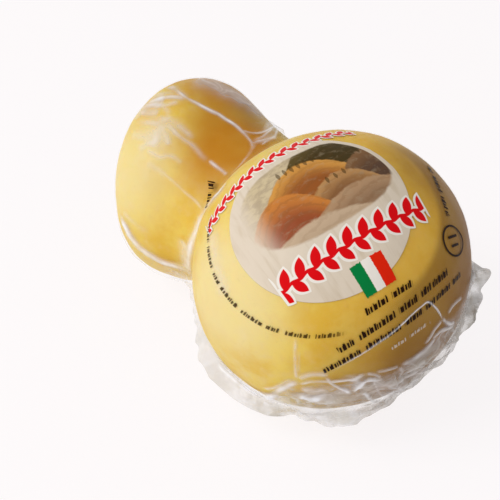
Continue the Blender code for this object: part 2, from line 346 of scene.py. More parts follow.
GAP_DEPTHS = (2.5 * MM, 8.0 * MM)

# How finely the pieces are drawn. Columns stand along a side, round the body's end and round
# the head's end.
FILM_COLUMNS = (200, 300, 190)
CAP_ROWS = 110
FLANK_ROWS = 110
APRON_ROWS = 60
SKIRT_ROWS = 50
LOWER_ROWS = 34
CHEESE_COLUMNS = (70, 120, 80)
CHEESE_ROWS = 150
HALVINGS = 20
LONGEST_RAY = 80.0 * MM
MERGE_DISTANCE = 0.001 * MM
STEP = 0.05 * MM                     # for slopes of the distance functions
LEAST_LENGTH = 1e-12


def soft_minimum(first, second, width):
    """The smaller of two distances, rounded off where they are within a width."""
    share = np.clip(0.5 + 0.5 * (second - first) / width, 0.0, 1.0)
    return second + (first - second) * share - width * share * (1.0 - share)


def eased(values, start, stop):
    """0 before the start, 1 past the stop, and an S-shaped rise between them."""
    share = np.clip((values - start) / (stop - start), 0.0, 1.0)
    return share * share * (3.0 - 2.0 * share)


def zigzag(phase):
    """A wave of straight slopes between -1 and 1: the angle whose sine is the phase's sine."""
    return 2.0 / math.pi * np.arcsin(np.sin(phase))


def spread(rows):
    """Shares from 0 to 1 down a column of so many rows."""
    return (np.arange(rows + 1) / rows)[:, None]


# ---------------------------------------------------------------------------- forms
def distance_to_body(points):
    """Signed distance, near enough, to the body's ellipsoid: scaled radius less one."""
    scaled = np.linalg.norm((points - BODY_CENTRE) / BODY_RADII, axis=-1)
    return (scaled - 1.0) * BODY_RADII.min()


def distance_to_head(points):
    """Signed distance, near enough, to the blunt head, a turned and tilted superellipsoid."""
    local = points - HEAD_CENTRE
    level = local[..., 0] * math.cos(HEAD_TURN) + local[..., 1] * math.sin(HEAD_TURN)
    across = local[..., 1] * math.cos(HEAD_TURN) - local[..., 0] * math.sin(HEAD_TURN)
    along = level * math.cos(HEAD_TILT) + local[..., 2] * math.sin(HEAD_TILT)
    upright = local[..., 2] * math.cos(HEAD_TILT) - level * math.sin(HEAD_TILT)
    length = np.abs(along) / HEAD_HALF_LENGTH
    ring = np.hypot(across, upright) / HEAD_RADIUS
    scaled = (length ** HEAD_BLUNTNESS + ring ** HEAD_BLUNTNESS) ** (1.0 / HEAD_BLUNTNESS)
    return (scaled - 1.0) * HEAD_HALF_LENGTH


def distance_to_neck(points):
    """Signed distance, near enough, to the neck, a bar that widens towards the head."""
    run = NECK_HEAD_END - NECK_BODY_END
    share = np.clip((points - NECK_BODY_END) @ run / (run @ run), 0.0, 1.0)
    nearest = NECK_BODY_END + share[..., None] * run
    radius = NECK_RADII[0] + (NECK_RADII[1] - NECK_RADII[0]) * share
    return np.linalg.norm(points - nearest, axis=-1) - radius


def distance_to_pack(points):
    """Signed distance to the tight film, with the hollows bridged and the base flat."""
    ends = soft_minimum(distance_to_body(points), distance_to_head(points), HOLLOW_BRIDGE)
    joined = soft_minimum(ends, distance_to_neck(points), NECK_BRIDGE)
    return np.maximum(joined - FILM_STAND_OFF, -points[..., 2])


def distance_to_cheese(points):
    """Signed distance to the bare cheese: the head runs into the neck, and the neck meets
    the body's shoulder in a sharp valley."""
    drop = soft_minimum(distance_to_head(points), distance_to_neck(points), COLLAR_BRIDGE)
    joined = soft_minimum(distance_to_body(points), drop, SHOULDER_BRIDGE)
    return np.maximum(joined, CHEESE_FLAT - points[..., 2])


def slope_of(distance, points):
    """The outward direction of a form at some points: the slope of its distance."""
    steps = STEP * np.eye(3)
    slope = np.stack([distance(points + step) - distance(points - step) for step in steps], axis=-1)
    return slope / np.linalg.norm(slope, axis=-1, keepdims=True)


def grid_faces(grid):
    """The faces between the points of a grid whose columns wrap round."""
    rows, columns = grid.shape[:2]
    index = np.arange(rows * columns).reshape(rows, columns)
    beside = np.roll(index, -1, axis=1)
    faces = np.stack([index[:-1], index[1:], beside[1:], beside[:-1]], axis=-1)
    return faces.reshape(-1, 4)


def ray_lengths(distance, starts, directions):
    """How far rays from inside a form run until they leave it, by halving an interval."""
    near = np.zeros(directions.shape[:-1])
    far = np.full(directions.shape[:-1], LONGEST_RAY)
    for _ in range(HALVINGS):
        middle = 0.5 * (near + far)
        inside = distance(starts + directions * middle[..., None]) < 0.0
        near = np.where(inside, middle, near)
        far = np.where(inside, far, middle)
    return far


def path_round_spine(columns):
    """Each column's place on the path, its point on the spine and its outward direction. The
    path's legs are the near side, the body's end, the far side and the head's end."""
    side, body, head = columns
    places = np.concatenate([
        np.arange(side) / side,
        1.0 + np.arange(body) / body,
        2.0 + np.arange(side) / side,
        3.0 + np.arange(head) / head,
    ])
    along = np.clip(places, 0.0, 1.0) - np.clip(places - 2.0, 0.0, 1.0)
    swing = np.clip(places - 1.0, 0.0, 1.0) + np.clip(places - 3.0, 0.0, 1.0)
    heading = math.pi * (swing - 0.5)
    spine = SPINE_HEAD_END + (BODY_CENTRE - SPINE_HEAD_END) * along[:, None]
    outward = np.stack([np.cos(heading), np.sin(heading), np.zeros_like(heading)], axis=-1)
    return places, spine, outward


def rays(outward, angles):
    """Directions at some angles above the horizontal, one row of them for each angle."""
    return np.cos(angles)[..., None] * outward + np.sin(angles)[..., None] * UP


def ripples(points, sets, seed):
    """Gentle unevenness: sums of sine waves with seeded directions and phases."""
    draw = np.random.default_rng(seed)
    height = np.zeros(points.shape[:-1])
    for length, size, count in sets:
        heading = draw.normal(size=(count, 3))
        heading /= np.linalg.norm(heading, axis=-1, keepdims=True)
        phase = draw.uniform(0.0, 2.0 * math.pi, count)
        stretch = draw.uniform(*WAVE_STRETCH, count)
        for axis, start, pull in zip(heading, phase, stretch):
            turn = 2.0 * math.pi * (points @ axis) / (length * pull) + start
            height += size * math.sqrt(2.0 / count) * np.sin(turn)
    return height


# ---------------------------------------------------------------------------- film
def eased_table(table, places):
    """A table's values at some places on the path, eased between its own places."""
    full_turn = np.zeros(table.shape[1])
    full_turn[0] = PATH_LENGTH
    table = np.vstack([table[-1] - full_turn, table, table[0] + full_turn])
    after = np.searchsorted(table[:, 0], places, side="right")
    start, stop = table[after - 1], table[after]
    share = eased(places, start[:, 0], stop[:, 0])[:, None]
    return (start[:, 1:] * (1.0 - share) + stop[:, 1:] * share).T


def relief(points):
    """Height of the cheese's relief at some points. It sets in above the floor."""
    return ripples(points, CHEESE_RELIEF, RELIEF_SEED) * eased(points[..., 2], *RELIEF_START)


def pleats(places):
    """Height of the pleats round the pack, a sum of a few zigzag waves."""
    turn = places * 2.0 * math.pi / PATH_LENGTH
    return sum(size * zigzag(count * turn + phase) for count, size, phase in PLEATS)


def direction(draw):
    """A seeded direction."""
    heading = draw.normal(size=3)
    return heading / np.linalg.norm(heading)


def crumple(points, reach, lengths, seed):
    """Folds of crumpled film at some points: their height, and their sharp lines of painted
    highlight, 0 to 1.

    A sum of zigzag waves, each as high as a share of its length. A wave runs in a seeded
    direction that is mostly outward or up, so most folds follow the edge, and a slower
    zigzag in another direction kinks it, so the folds break and meet at all angles. A line
    lies on each fold's crest and foot, and comes and goes along it.
    """
    draw = np.random.default_rng(seed)
    height = np.zeros(points.shape[:-1])
    lines = np.zeros(points.shape[:-1])
    for length in lengths:
        turn, start, phase, gap = draw.uniform(0.0, 2.0 * math.pi, 4)
        stray, aside, along = direction(draw), direction(draw), direction(draw)
        run = math.cos(turn) * reach + math.sin(turn) * points[..., 2]
        run = run + FOLD_STRAY * (points @ stray)
        kink = zigzag(2.0 * math.pi * (points @ aside) / (FOLD_KINK * length) + start)
        wave = zigzag(2.0 * math.pi * (run / length + FOLD_BEND * kink) + phase)
        fade = 0.5 + 0.5 * zigzag(2.0 * math.pi * (points @ along) / (FOLD_KINK * length) + gap)
        height += FOLD_SLOPE * length * wave
        line = eased(np.abs(wave), *FOLD_LINE) * fade * (length / lengths[0]) ** 0.5
        lines = np.maximum(lines, line)
    return height, lines


def traced(film, pixels):
    """Where places in the photograph lie on the film, in mm to a tenth. From each, a ray runs
    from the camera: sideways and upwards by the place's pixels from the middle, and forwards
    by the photograph's side times the lens over the sensor. Places off the film drop out."""
    turn = Vector(AIM).to_track_quat("-Z", "Y")
    middle, ahead = PHOTO_SIDE / 2.0, PHOTO_SIDE * LENS / SENSOR
    headings = [turn @ Vector((column - middle, middle - row, -ahead)) for column, row in pixels]
    places = [film.ray_cast(Vector(EYE), heading)[0] for heading in headings]
    return np.array([np.round(np.array(place) / MM, 1) for place in places if place])


def crease_line(points):
    """A smooth line through a crease's points, by a cubic between each two of them whose
    slopes at the points are half the step from the point before to the point after."""
    ends = points * MM
    padded = np.vstack([2.0 * ends[0] - ends[1], ends, 2.0 * ends[-1] - ends[-2]])
    run = np.arange(CREASE_STEPS * (len(ends) - 1) + 1) / CREASE_STEPS
    leg = np.minimum(run.astype(int), len(ends) - 2)
    share = (run - leg)[:, None]
    before, start, stop, after = (padded[leg + step] for step in range(4))
    return 0.5 * (2.0 * start + (stop - before) * share
                  + (2.0 * before - 5.0 * start + 4.0 * stop - after) * share ** 2
                  + (3.0 * start - before - 3.0 * stop + after) * share ** 3)


def distance_to_line(points, normals, line):
    """Distance to a line of straight pieces, measured along the film: what lies straight
    above or below the film counts only past the crease's depth. Also the share of the line
    at the nearest piece."""
    nearest = np.full(len(points), LONGEST_RAY)
    place = np.zeros(len(points))
    for number, (start, stop) in enumerate(zip(line[:-1], line[1:])):
        run = stop - start
        share = np.clip((points - start) @ run / (run @ run), 0.0, 1.0)
        offset = points - start - share[:, None] * run
        above = np.sum(offset * normals, axis=-1)
        flat = np.sum(offset * offset, axis=-1) - above * above
        gap = np.sqrt(np.maximum(flat, 0.0) + np.maximum(np.abs(above) - CREASE_DEPTH, 0.0) ** 2)
        place = np.where(gap < nearest, (number + share) / (len(line) - 1), place)
        nearest = np.minimum(gap, nearest)
    return nearest, place


def crease_tent(points, normals, route, half_width):
    """A crease's rounded tent over its line, 1 on the line, fading at its ends. It falls off
    as e to the power of minus the square of the distance over the half width."""
    tent = np.zeros(points.shape[:-1])
    if len(route) < 2:
        return tent
    line = crease_line(route)
    margin = CREASE_REACH * half_width + CREASE_DEPTH
    lowest, highest = line.min(axis=0) - margin, line.max(axis=0) + margin
    near = np.all((points > lowest) & (points < highest), axis=-1)
    gap, place = distance_to_line(points[near], normals[near], line)
    fade = eased(place, 0.0, CREASE_FADE) * eased(1.0 - place, 0.0, CREASE_FADE)
    tent[near] = np.exp(-(gap / half_width) ** 2) * fade
    return tent


def crease_fields(points, normals, creasing):
    """Height and milkiness of all creases, and the haze of all veils, traced on the film."""
    film = BVHTree.FromPolygons(points.reshape(-1, 3).tolist(), grid_faces(points).tolist())
    height, milk, veil = (np.zeros(points.shape[:-1]) for _ in range(3))
    mottle = 1.0 + ripples(points, CREASE_MOTTLE, MOTTLE_SEED)
    for pixels, rise, half_width, strength in CREASES.values():
        tent = crease_tent(points, normals, traced(film, pixels), half_width * MM)
        height = np.maximum(height, creasing * rise * MM * tent)
        milk = np.maximum(milk, strength * tent * np.clip(mottle, *MOTTLE_RANGE))
    for pixels, half_width, strength in VEILS.values():
        tent = crease_tent(points, normals, traced(film, pixels), half_width * MM)
        veil = np.maximum(veil, strength * tent)
    return height, milk, veil


def grid_normals(grid):
    """Outward normals of a grid, from its steps along the rows and the wrapped columns."""
    across = np.roll(grid, -1, axis=1) - np.roll(grid, 1, axis=1)
    down = np.gradient(grid, axis=0)
    normal = np.cross(down, across)
    return normal / np.maximum(np.linalg.norm(normal, axis=-1, keepdims=True), LEAST_LENGTH)


def skirt_edge(spine, outward, reach, height, places, strength):
    """The skirt's edge, kept clear of the pack, and its angle from the spine."""
    jag = pleats(places) * strength
    rise = height + PLEAT_RISE * jag - spine[:, 2]
    arm = outward * (reach + jag)[:, None] + UP * rise[:, None]
    length = np.linalg.norm(arm, axis=-1, keepdims=True)
    heading = arm / length
    wall = ray_lengths(distance_to_pack, spine, heading)[:, None] - FILM_SLACK
    return spine + heading * np.maximum(length, wall + SKIRT_LEAST), np.arcsin(heading[:, 2])


def film_rows(spine, outward, angles, slack):
    """Rows of the tight film: the frame's form drawn in by a slack, and held off the cheese
    by the least gap."""
    directions = rays(outward, angles)
    starts = np.broadcast_to(spine, directions.shape)
    cheese = ray_lengths(distance_to_cheese, starts, directions)
    gap = ray_lengths(distance_to_pack, starts, directions) - cheese
    gap -= slack * (1.0 - eased(gap, *SLACK_ENDS))
    gap = -soft_minimum(-gap, np.full_like(gap, -FILM_GAP), CLING_BLEND)
    return starts + directions * (cheese + gap)[..., None]


def film_haze(points, loose, veil):
    """How milky the film looks: where it bridges a hollow, hangs loose or has a veil."""
    gap = distance_to_cheese(points)
    return np.maximum(np.maximum(GAP_HAZE * eased(gap, *GAP_DEPTHS), loose), veil)


def upper_web(spine, outward, root, top, strength, cloud, edge, creasing):
    """The upper web's grid with its haze and milkiness: the tight crown, the apron that
    leaves the flank at its top angle, and the skirt from the root to the edge."""
    crown_rows = CAP_ROWS + FLANK_ROWS
    angles = np.concatenate([
        math.pi / 2.0 + (top - math.pi / 2.0) * spread(crown_rows),
        top + (root - top) * spread(APRON_ROWS)[1:],
    ])
    wall = film_rows(spine, outward, angles, FILM_SLACK)
    cling = 1.0 - eased(distance_to_cheese(wall), FILM_GAP, CLING_REACH)
    wall += slope_of(distance_to_cheese, wall) * (relief(wall) * cling)[..., None]
    pull = FILM_PULL * np.exp((root - angles) / PULL_ANGLE) * eased(angles, math.pi / 2.0, 0.0)
    wall += pull[..., None] * outward
    skirt = wall[-1] + (edge - wall[-1]) * spread(SKIRT_ROWS)[1:, :, None]
    web = np.concatenate([wall, skirt])
    tight = slope_of(distance_to_pack, web)
    apron = np.concatenate([
        np.zeros((crown_rows, 1)), spread(APRON_ROWS), 1.0 + spread(SKIRT_ROWS)[1:]])
    reach = np.sum((web - spine) * outward, axis=-1)
    shared_height, shared_lines = crumple(web, reach, FOLD_LENGTHS, FOLD_SEEDS[0])
    own_height, own_lines = crumple(web, reach, FOLD_LENGTHS * OWN_FOLDS, FOLD_SEEDS[1])

    full = np.clip((top - root) / APRON_FULL, 0.0, 1.0)
    ragged = apron + HANG_SHIFT * own_height / (FOLD_SLOPE * FOLD_LENGTHS[0])
    hang = eased(ragged, *LONG_HANG) * full + eased(apron, *SHORT_HANG) * (1.0 - full)
    hang = hang * (apron > 0.0)
    seal = eased(apron, *SEAL)
    mixed = SHARED_FOLDS * shared_height + (1.0 - SHARED_FOLDS) * own_height
    folds = strength * hang * (seal * shared_height + (1.0 - seal) * mixed)
    swell = APRON_LIFT * strength * hang * (1.0 - seal) + folds
    swell = np.where(apron < OUTWARD_FOLDS, np.maximum(swell, 0.0), swell)
    flat = grid_normals(web)
    blend = eased(apron, *FOLD_TURN)[..., None]
    normal = tight * (1.0 - blend) + flat * blend
    normal /= np.maximum(np.linalg.norm(normal, axis=-1, keepdims=True), LEAST_LENGTH)
    web = web + normal * swell[..., None]
    rise, milk, veil = crease_fields(web, normal, creasing)
    web = web + normal * rise[..., None]
    # The folds' lines are painted highlights, such as sharp folds catch.
    shared_lines = shared_lines * (SHARED_LINES + (1.0 - SHARED_LINES) * seal)
    lines = hang * np.maximum(shared_lines, own_lines * (1.0 - seal)) * strength * HIGHLIGHT_MILK
    # Clearer in the folds' hollows than on their tops: painted shade.
    hollow = np.clip(FLAT_HAZE + FOLD_HAZE * swell / MM / FOLD_HEIGHT, *HAZE_RANGE)
    milky = SKIRT_MILK[0] + SKIRT_MILK[1] * eased(apron, *SKIRT_START)
    haze = film_haze(web, np.minimum(cloud * hang * hollow * milky, MOST_HAZE), veil)
    return web, haze, np.maximum(milk, lines)


def lower_web(spine, outward, root, strength, cloud, edge, edge_angle, last_row, edge_normal):
    """The lower web's grid with its haze and milkiness: in from the edge, then under the
    cheese. At the edge it follows the upper web."""
    foot = np.minimum(root, edge_angle) - SKIRT_DEPTH_ANGLE
    angles = foot + (-math.pi / 2.0 - foot) * spread(LOWER_ROWS)
    base = film_rows(spine, outward, angles, 0.0)
    inward = spread(SKIRT_ROWS)[:-1]
    web = np.concatenate([edge + (base[0] - edge) * inward[..., None], base])
    away = np.concatenate([1.0 - inward, -spread(LOWER_ROWS)])
    reach = np.sum((web - spine) * outward, axis=-1)
    shared_height, shared_lines = crumple(web, reach, FOLD_LENGTHS, FOLD_SEEDS[0])
    own_height, own_lines = crumple(web, reach, FOLD_LENGTHS, FOLD_SEEDS[2])
    hang = eased(away, *LOWER_HANG)
    seal = eased(away, *LOWER_SEAL)
    folds = strength * hang * (seal * shared_height - (1.0 - seal) * np.abs(own_height))
    turn = eased(away, *LOWER_TURN)[..., None]
    normal = turn * edge_normal - (1.0 - turn) * grid_normals(web)
    web = web + normal * folds[..., None]
    web[..., 2] = np.maximum(web[..., 2], 0.0)
    web[0] = last_row
    haze = film_haze(web, cloud * hang * sum(SKIRT_MILK), np.zeros_like(folds))
    # The folds' lines are painted highlights, such as sharp folds catch.
    lines = np.maximum(shared_lines * seal, own_lines * (1.0 - seal))
    lines = HIGHLIGHT_MILK * strength * hang * lines
    return web, haze, lines


def film_webs(crumpling, creasing):
    """The film as four grids, each with its haze and milkiness: the cap, the flank, the apron
    with the skirt, and the lower web. Each one's last row is the next one's first."""
    places, spine, outward = path_round_spine(FILM_COLUMNS)
    root, reach, height = eased_table(SKIRT_PLACES, places)
    root, reach, height = -np.radians(root), reach * MM, height * MM
    top, strength, cloud = eased_table(APRON_PLACES, places)
    strength = strength * crumpling
    top = np.maximum(np.radians(top), root + APRON_LEAST)
    edge, edge_angle = skirt_edge(spine, outward, reach, height, places, strength)
    upper = upper_web(spine, outward, root, top, strength, cloud, edge, creasing)
    edge_normal = grid_normals(upper[0])[-1]
    last_row = upper[0][-1]
    lower = lower_web(spine, outward, root, strength, cloud, edge, edge_angle, last_row, edge_normal)
    cuts = (0, CAP_ROWS, CAP_ROWS + FLANK_ROWS, len(upper[0]) - 1)
    spans = [slice(start, stop + 1) for start, stop in zip(cuts[:-1], cuts[1:])]
    return (*[tuple(field[span] for field in upper) for span in spans], lower)


# ---------------------------------------------------------------------------- print places
# The print is laid out flat, in mm, from its middle on the body: one axis along its lines
# and one across them. Both are measured over the body as over a ball.
PRINT_MIDDLE = np.array([0.22648, -0.37088, 0.90064])
PRINT_ALONG = np.array([0.23754, 0.91778, 0.31820])
PRINT_ACROSS = np.array([-0.94461, 0.14188, 0.29596])
PRINT_BALL = 39.0


def print_places(points):
    """Where each point lies in the flat print, in mm: its angle from the print's middle
    times the ball's radius, in the direction in which it lies from there."""
    heading = points - BODY_CENTRE
    heading /= np.linalg.norm(heading, axis=-1, keepdims=True)
    along, across = heading @ PRINT_ALONG, heading @ PRINT_ACROSS
    angle = np.arccos(np.clip(heading @ PRINT_MIDDLE, -1.0, 1.0))
    pull = PRINT_BALL * angle / np.maximum(np.hypot(along, across), LEAST_LENGTH)
    return np.stack([along * pull, across * pull, np.zeros_like(pull)], axis=-1)


# ---------------------------------------------------------------------------- meshes
def web_mesh(name, grid, fields):
    """A mesh from a grid whose columns wrap round and whose last or first row folds shut.

    fields gives the point attributes: a number or a place for each point of the grid.
    """
    data = bpy.data.meshes.new(name)
    data.from_pydata(grid.reshape(-1, 3), [], grid_faces(grid))
    for field, values in fields.items():
        flat = values.ndim == 2
        made = data.attributes.new(field, "FLOAT" if flat else "FLOAT_VECTOR", "POINT")
        made.data.foreach_set("value" if flat else "vector", values.astype(np.float32).ravel())
    shell = bmesh.new()
    shell.from_mesh(data)
    bmesh.ops.remove_doubles(shell, verts=shell.verts, dist=MERGE_DISTANCE)
    shell.to_mesh(data)
    shell.free()
    data.shade_smooth()
    return data


def add_piece(name, data, material):
    """Put a piece into the scene: it stands for the frame's pack and rides on its body."""
    piece = bpy.data.objects.new(name, data)
    bpy.context.collection.objects.link(piece)
    data.materials.clear()
    data.materials.append(material)
    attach(piece, "root")
    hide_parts("film_pack")
    return piece


# ---------------------------------------------------------------------------- shader maths
class Value:
    """One output of a material's nodes. Sums and products of it add Math nodes."""

    def __init__(self, finish, socket):
        self.finish = finish
        self.socket = socket

    def _math(self, operation, *operands):
        values = dict(enumerate(operands))
        return self.finish.node("ShaderNodeMath", {"operation": operation}, values)

    def __add__(self, other):
        return self._math("ADD", self, other)

    def __radd__(self, other):
        return self._math("ADD", other, self)

    def __sub__(self, other):
        return self._math("SUBTRACT", self, other)

    def __rsub__(self, other):
        return self._math("SUBTRACT", other, self)

    def __mul__(self, other):
        return self._math("MULTIPLY", self, other)

    def __rmul__(self, other):
        return self._math("MULTIPLY", other, self)

    def __truediv__(self, other):
        return self._math("DIVIDE", self, other)

    def __pow__(self, other):
        return self._math("POWER", self, other)

    def __mod__(self, other):
        return self._math("FLOORED_MODULO", self, other)

    def __abs__(self):
        return self._math("ABSOLUTE", self)

    def sine(self):
        """The sine of this angle."""
        return self._math("SINE", self)

    def root(self):
        """The square root."""
        return self._math("SQRT", self)

    def turn_from(self, other):
        """The angle whose tangent is this value over another."""
        return self._math("ARCTAN2", self, other)

    def least(self, other):
        """The smaller of two values."""
        return self._math("MINIMUM", self, other)

    def most(self, other):
        """The larger of two values."""
        return self._math("MAXIMUM", self, other)

    def eased(self, start, stop):
        """0 before the start, 1 past the stop, and an S-shaped rise between them."""
        settings = {"interpolation_type": "SMOOTHSTEP"}
        return self.finish.node("ShaderNodeMapRange", settings, {0: self, 1: start, 2: stop})

    def grown(self, start, stop, strength):
        """0 before the start, and an S-shaped rise to a strength at the stop."""
        return self.eased(start, stop) * strength


class Finish:
    """A material under construction: its nodes, and the few ways in which they are added."""

    def __init__(self, name):
        self.material = bpy.data.materials.new(name)
        self.material.use_nodes = True
        self.tree = self.material.node_tree
        self.tree.nodes.clear()

    def node(self, kind, settings=None, inputs=None, output=0):
        """Add a node: its settings first, then each input's value or link. Gives an output."""
        made = self.tree.nodes.new(kind)
        for name, value in (settings or {}).items():
            setattr(made, name, value)
        for key, value in (inputs or {}).items():
            if isinstance(value, Value):
                self.tree.links.new(value.socket, made.inputs[key])
            else:
                made.inputs[key].default_value = value
        return Value(self, made.outputs[output])

    def field(self, name, output):
        """One of the mesh's point attributes."""
        return self.node("ShaderNodeAttribute", {"attribute_name": name}, output=output)

    def mix(self, share, first, second):
        """A colour between two colours, which are the node's sockets 6 and 7."""
        inputs = {0: share, 6: first, 7: second}
        return self.node("ShaderNodeMix", {"data_type": "RGBA"}, inputs, 2)

    def noise(self, place, scale, detail, roughness, distortion=0.0):
        """Soft noise between 0 and 1, with its middle at 0.5."""
        inputs = {"Vector": place, "Scale": scale, "Detail": detail, "Roughness": roughness,
                  "Distortion": distortion}
        return self.node("ShaderNodeTexNoise", {"noise_dimensions": "3D"}, inputs, "Fac")

    def stretched(self, place, scale, turn=(0.0, 0.0, 0.0)):
        """A place scaled on each axis and then turned."""
        inputs = {"Vector": place, "Rotation": turn, "Scale": scale}
        return self.node("ShaderNodeMapping", {}, inputs)

    def parts(self, place):
        """The three numbers of a place."""
        made = self.node("ShaderNodeSeparateXYZ", {}, {0: place})
        outputs = made.socket.node.outputs
        return [Value(self, outputs[number]) for number in range(3)]

    def distance(self, place, centre):
        """Distance from a fixed centre."""
        settings = {"operation": "DISTANCE"}
        return self.node("ShaderNodeVectorMath", settings, {0: place, 1: centre}, "Value")

    def towards(self, place, heading):
        """How far a place lies in some direction."""
        settings = {"operation": "DOT_PRODUCT"}
        return self.node("ShaderNodeVectorMath", settings, {0: place, 1: heading}, "Value")

    def close(self, surface):
        """Link a shader to the material's surface."""
        end = self.tree.nodes.new("ShaderNodeOutputMaterial")
        self.tree.links.new(surface.socket, end.inputs["Surface"])
        return self.material


# ---------------------------------------------------------------------------- cheese finish
CURD = colour(232, 202, 94)
DEEP_CURD = colour(222, 176, 50)
# Bloom: a pale tone of the curd, also used to paint light where the key light falls most.
BLOOM_AND_LIGHT = colour(236, 221, 168)
SMOKE = colour(190, 126, 18)
# Deep smoke: the darkest smoked tone, also used to paint shade on the side away from the key light.
DEEP_SMOKE_AND_SHADE = colour(120, 76, 2)
# Ochre: a deeper tone of the curd, also painted as shade towards the side away from the key light.
OCHRE = colour(222, 162, 46)
# Patches of colour: where the cheese is painted paler, with bloom and painted light where the key
# light falls most;
# where smoke has coloured it; and where it is painted darker, with deep smoke and painted shade, on
# the side away from the key light. Each gives the middle in mm, the distances in mm where it starts
# to fade and where it ends, how strong it is, and its colour.
PATCHES = (
    ((-2.0, -37.0, 50.0), 8.0, 26.0, 0.66, "bloom_and_light"),
    ((-62.0, -22.0, 46.0), 5.0, 24.0, 0.62, "bloom_and_light"),
    ((-43.0, 2.0, 54.0), 6.0, 20.0, 0.98, "smoke"),
    ((-38.0, -9.0, 51.0), 3.0, 15.0, 0.62, "smoke"),
    ((-64.0, 19.0, 53.0), 4.0, 25.0, 0.85, "smoke"),
    ((-61.0, 9.0, 57.0), 3.0, 14.0, 0.40, "smoke"),
    # Deep smoke patches: painted shade on the side away from the key light, with some smoke there.
    ((-50.0, 20.0, 46.0), 5.0, 16.0, 0.42, "deep_smoke_and_shade"),
    ((40.0, -6.0, 20.0), 12.0, 43.0, 0.72, "deep_smoke_and_shade"),
    ((10.0, 20.0, 67.0), 3.0, 17.0, 0.42, "deep_smoke_and_shade"),
    ((30.0, 30.0, 40.0), 8.0, 35.0, 0.90, "deep_smoke_and_shade"),
)
PATCH_WANDER = 9.0 * MM
PATCH_MOTTLE = (0.72, 0.55)          # least strength, and what the mottle adds
# The far flank is painted darker, as painted shade away from the key light, from an arc: its middle
# and the distances from it, in mm, over which it sets in, the side on which it lies and how far out
# there, and its strength.
FLANK_MIDDLE, FLANK_ARC = (6.2, -5.8, 63.0), (25.2, 27.6)
FLANK_SIDE, FLANK_SPAN = (0.75, 0.66, 0.0), (11.0, 23.0)
FLANK_SHADE_STRENGTH = 0.60
# Towards the side away from the key light the curd is painted ochre, partly its own deeper tone and
# partly
# painted shade: the direction, where the ochre sets in and is full in mm, and its strength.
OCHRE_SIDE, OCHRE_SPAN, OCHRE_STRENGTH = (0.67, 0.74, 0.0), (-14.0, 12.0), 0.50
# Noise of the cheese: its scale, detail and roughness.
BROAD_CLOUDS = (28.0, 3.0, 0.55)
MOTTLE_CLOUDS = (95.0, 4.0, 0.60)
SMALL_CLOUDS = (270.0, 3.0, 0.60)
FINE_GRAIN = (700.0, 2.0, 0.50)
# The curd's tones: between which values of the noise each sets in, and its strength.
DEEP_MOTTLE, SMALL_MOTTLE = (0.35, 0.70, 0.75), (0.46, 0.70, 0.48)
PALE_MOTTLE, PALE_SHARES = (0.47, 0.68, 0.45), (0.6, 0.4)      # from broad and small clouds
SPECKS = (0.62, 0.80, 0.07)
BUMP_SHARES = (0.6, 0.4)             # from mottle and fine grain
CURD_ROUGHNESS = (0.42, 0.12)        # the least, and what the mottle adds


def smoked_curd(looks):
    """Smoked curd under tight film: yellow, mottled, paler with bloom and painted light, orange with
    smoke, darker with painted shade.
    """
    finish = Finish("smoked_curd")
    place = finish.node("ShaderNodeTexCoord", output="Object")
    broad = finish.noise(place, *BROAD_CLOUDS)
    mottle = finish.noise(place, *MOTTLE_CLOUDS)
    fine = finish.noise(place, *FINE_GRAIN)
    small = finish.noise(place, *SMALL_CLOUDS)
    tint = finish.mix(mottle.grown(*DEEP_MOTTLE), looks.curd, looks.deep_curd)
    tint = finish.mix(small.grown(*SMALL_MOTTLE), tint, looks.deep_curd)
    pale = broad * PALE_SHARES[0] + small * PALE_SHARES[1]
    tint = finish.mix(pale.grown(*PALE_MOTTLE), tint, looks.bloom_and_light)
    # Ochre towards the side away from the key light: partly painted shade.
    ochre = finish.towards(place, OCHRE_SIDE).eased(*in_mm(OCHRE_SPAN))
    tint = finish.mix(ochre * OCHRE_STRENGTH, tint, looks.ochre)
    for centre, inner, outer, strength, stain in PATCHES:
        gap = finish.distance(place, in_mm(centre)) + (broad - 0.5) * PATCH_WANDER
        share = (1.0 - gap.eased(inner * MM, outer * MM)) * strength
        share = share * (PATCH_MOTTLE[0] + PATCH_MOTTLE[1] * mottle)
        tint = finish.mix(share, tint, getattr(looks, stain))
    # Painted shade on the far flank, beyond the arc.
    arc = finish.distance(place, in_mm(FLANK_MIDDLE)).eased(*in_mm(FLANK_ARC))
    share = arc * finish.towards(place, FLANK_SIDE).eased(*in_mm(FLANK_SPAN))
    tint = finish.mix(share * FLANK_SHADE_STRENGTH, tint, looks.deep_smoke_and_shade)
    tint = finish.mix(fine.grown(*SPECKS), tint, looks.deep_smoke_and_shade)
    height = mottle * BUMP_SHARES[0] + fine * BUMP_SHARES[1]
    inputs = {"Strength": 0.2, "Distance": 0.3 * MM, "Height": height}
    bump = finish.node("ShaderNodeBump", {}, inputs)
    surface = finish.node("ShaderNodeBsdfPrincipled", {}, {
        "Base Color": tint,
        "Roughness": CURD_ROUGHNESS[0] + CURD_ROUGHNESS[1] * mottle,
        "Normal": bump,
        "Subsurface Weight": 0.22,
        "Subsurface Radius": (1.0, 0.55, 0.22),
        "Subsurface Scale": 3.0 * MM,
        "Specular IOR Level": 0.08,
        "Coat Weight": 0.05,
        "Coat Roughness": 0.28,
    })
    return finish.close(surface)


# ---------------------------------------------------------------------------- print
CREAM = colour(222, 208, 190)
BEIGE = colour(190, 170, 140)
OUTLINE = colour(240, 234, 226)
LEAF_RED = colour(222, 8, 18)
STRIPE_GREEN = colour(2, 126, 62)
STRIPE_RED = colour(226, 36, 8)
INK = colour(34, 10, 0)
SKY = colour(206, 188, 152)
CLOUD = colour(180, 162, 134)
WOODS = colour(70, 52, 22)
FURROW = colour(120, 82, 46)

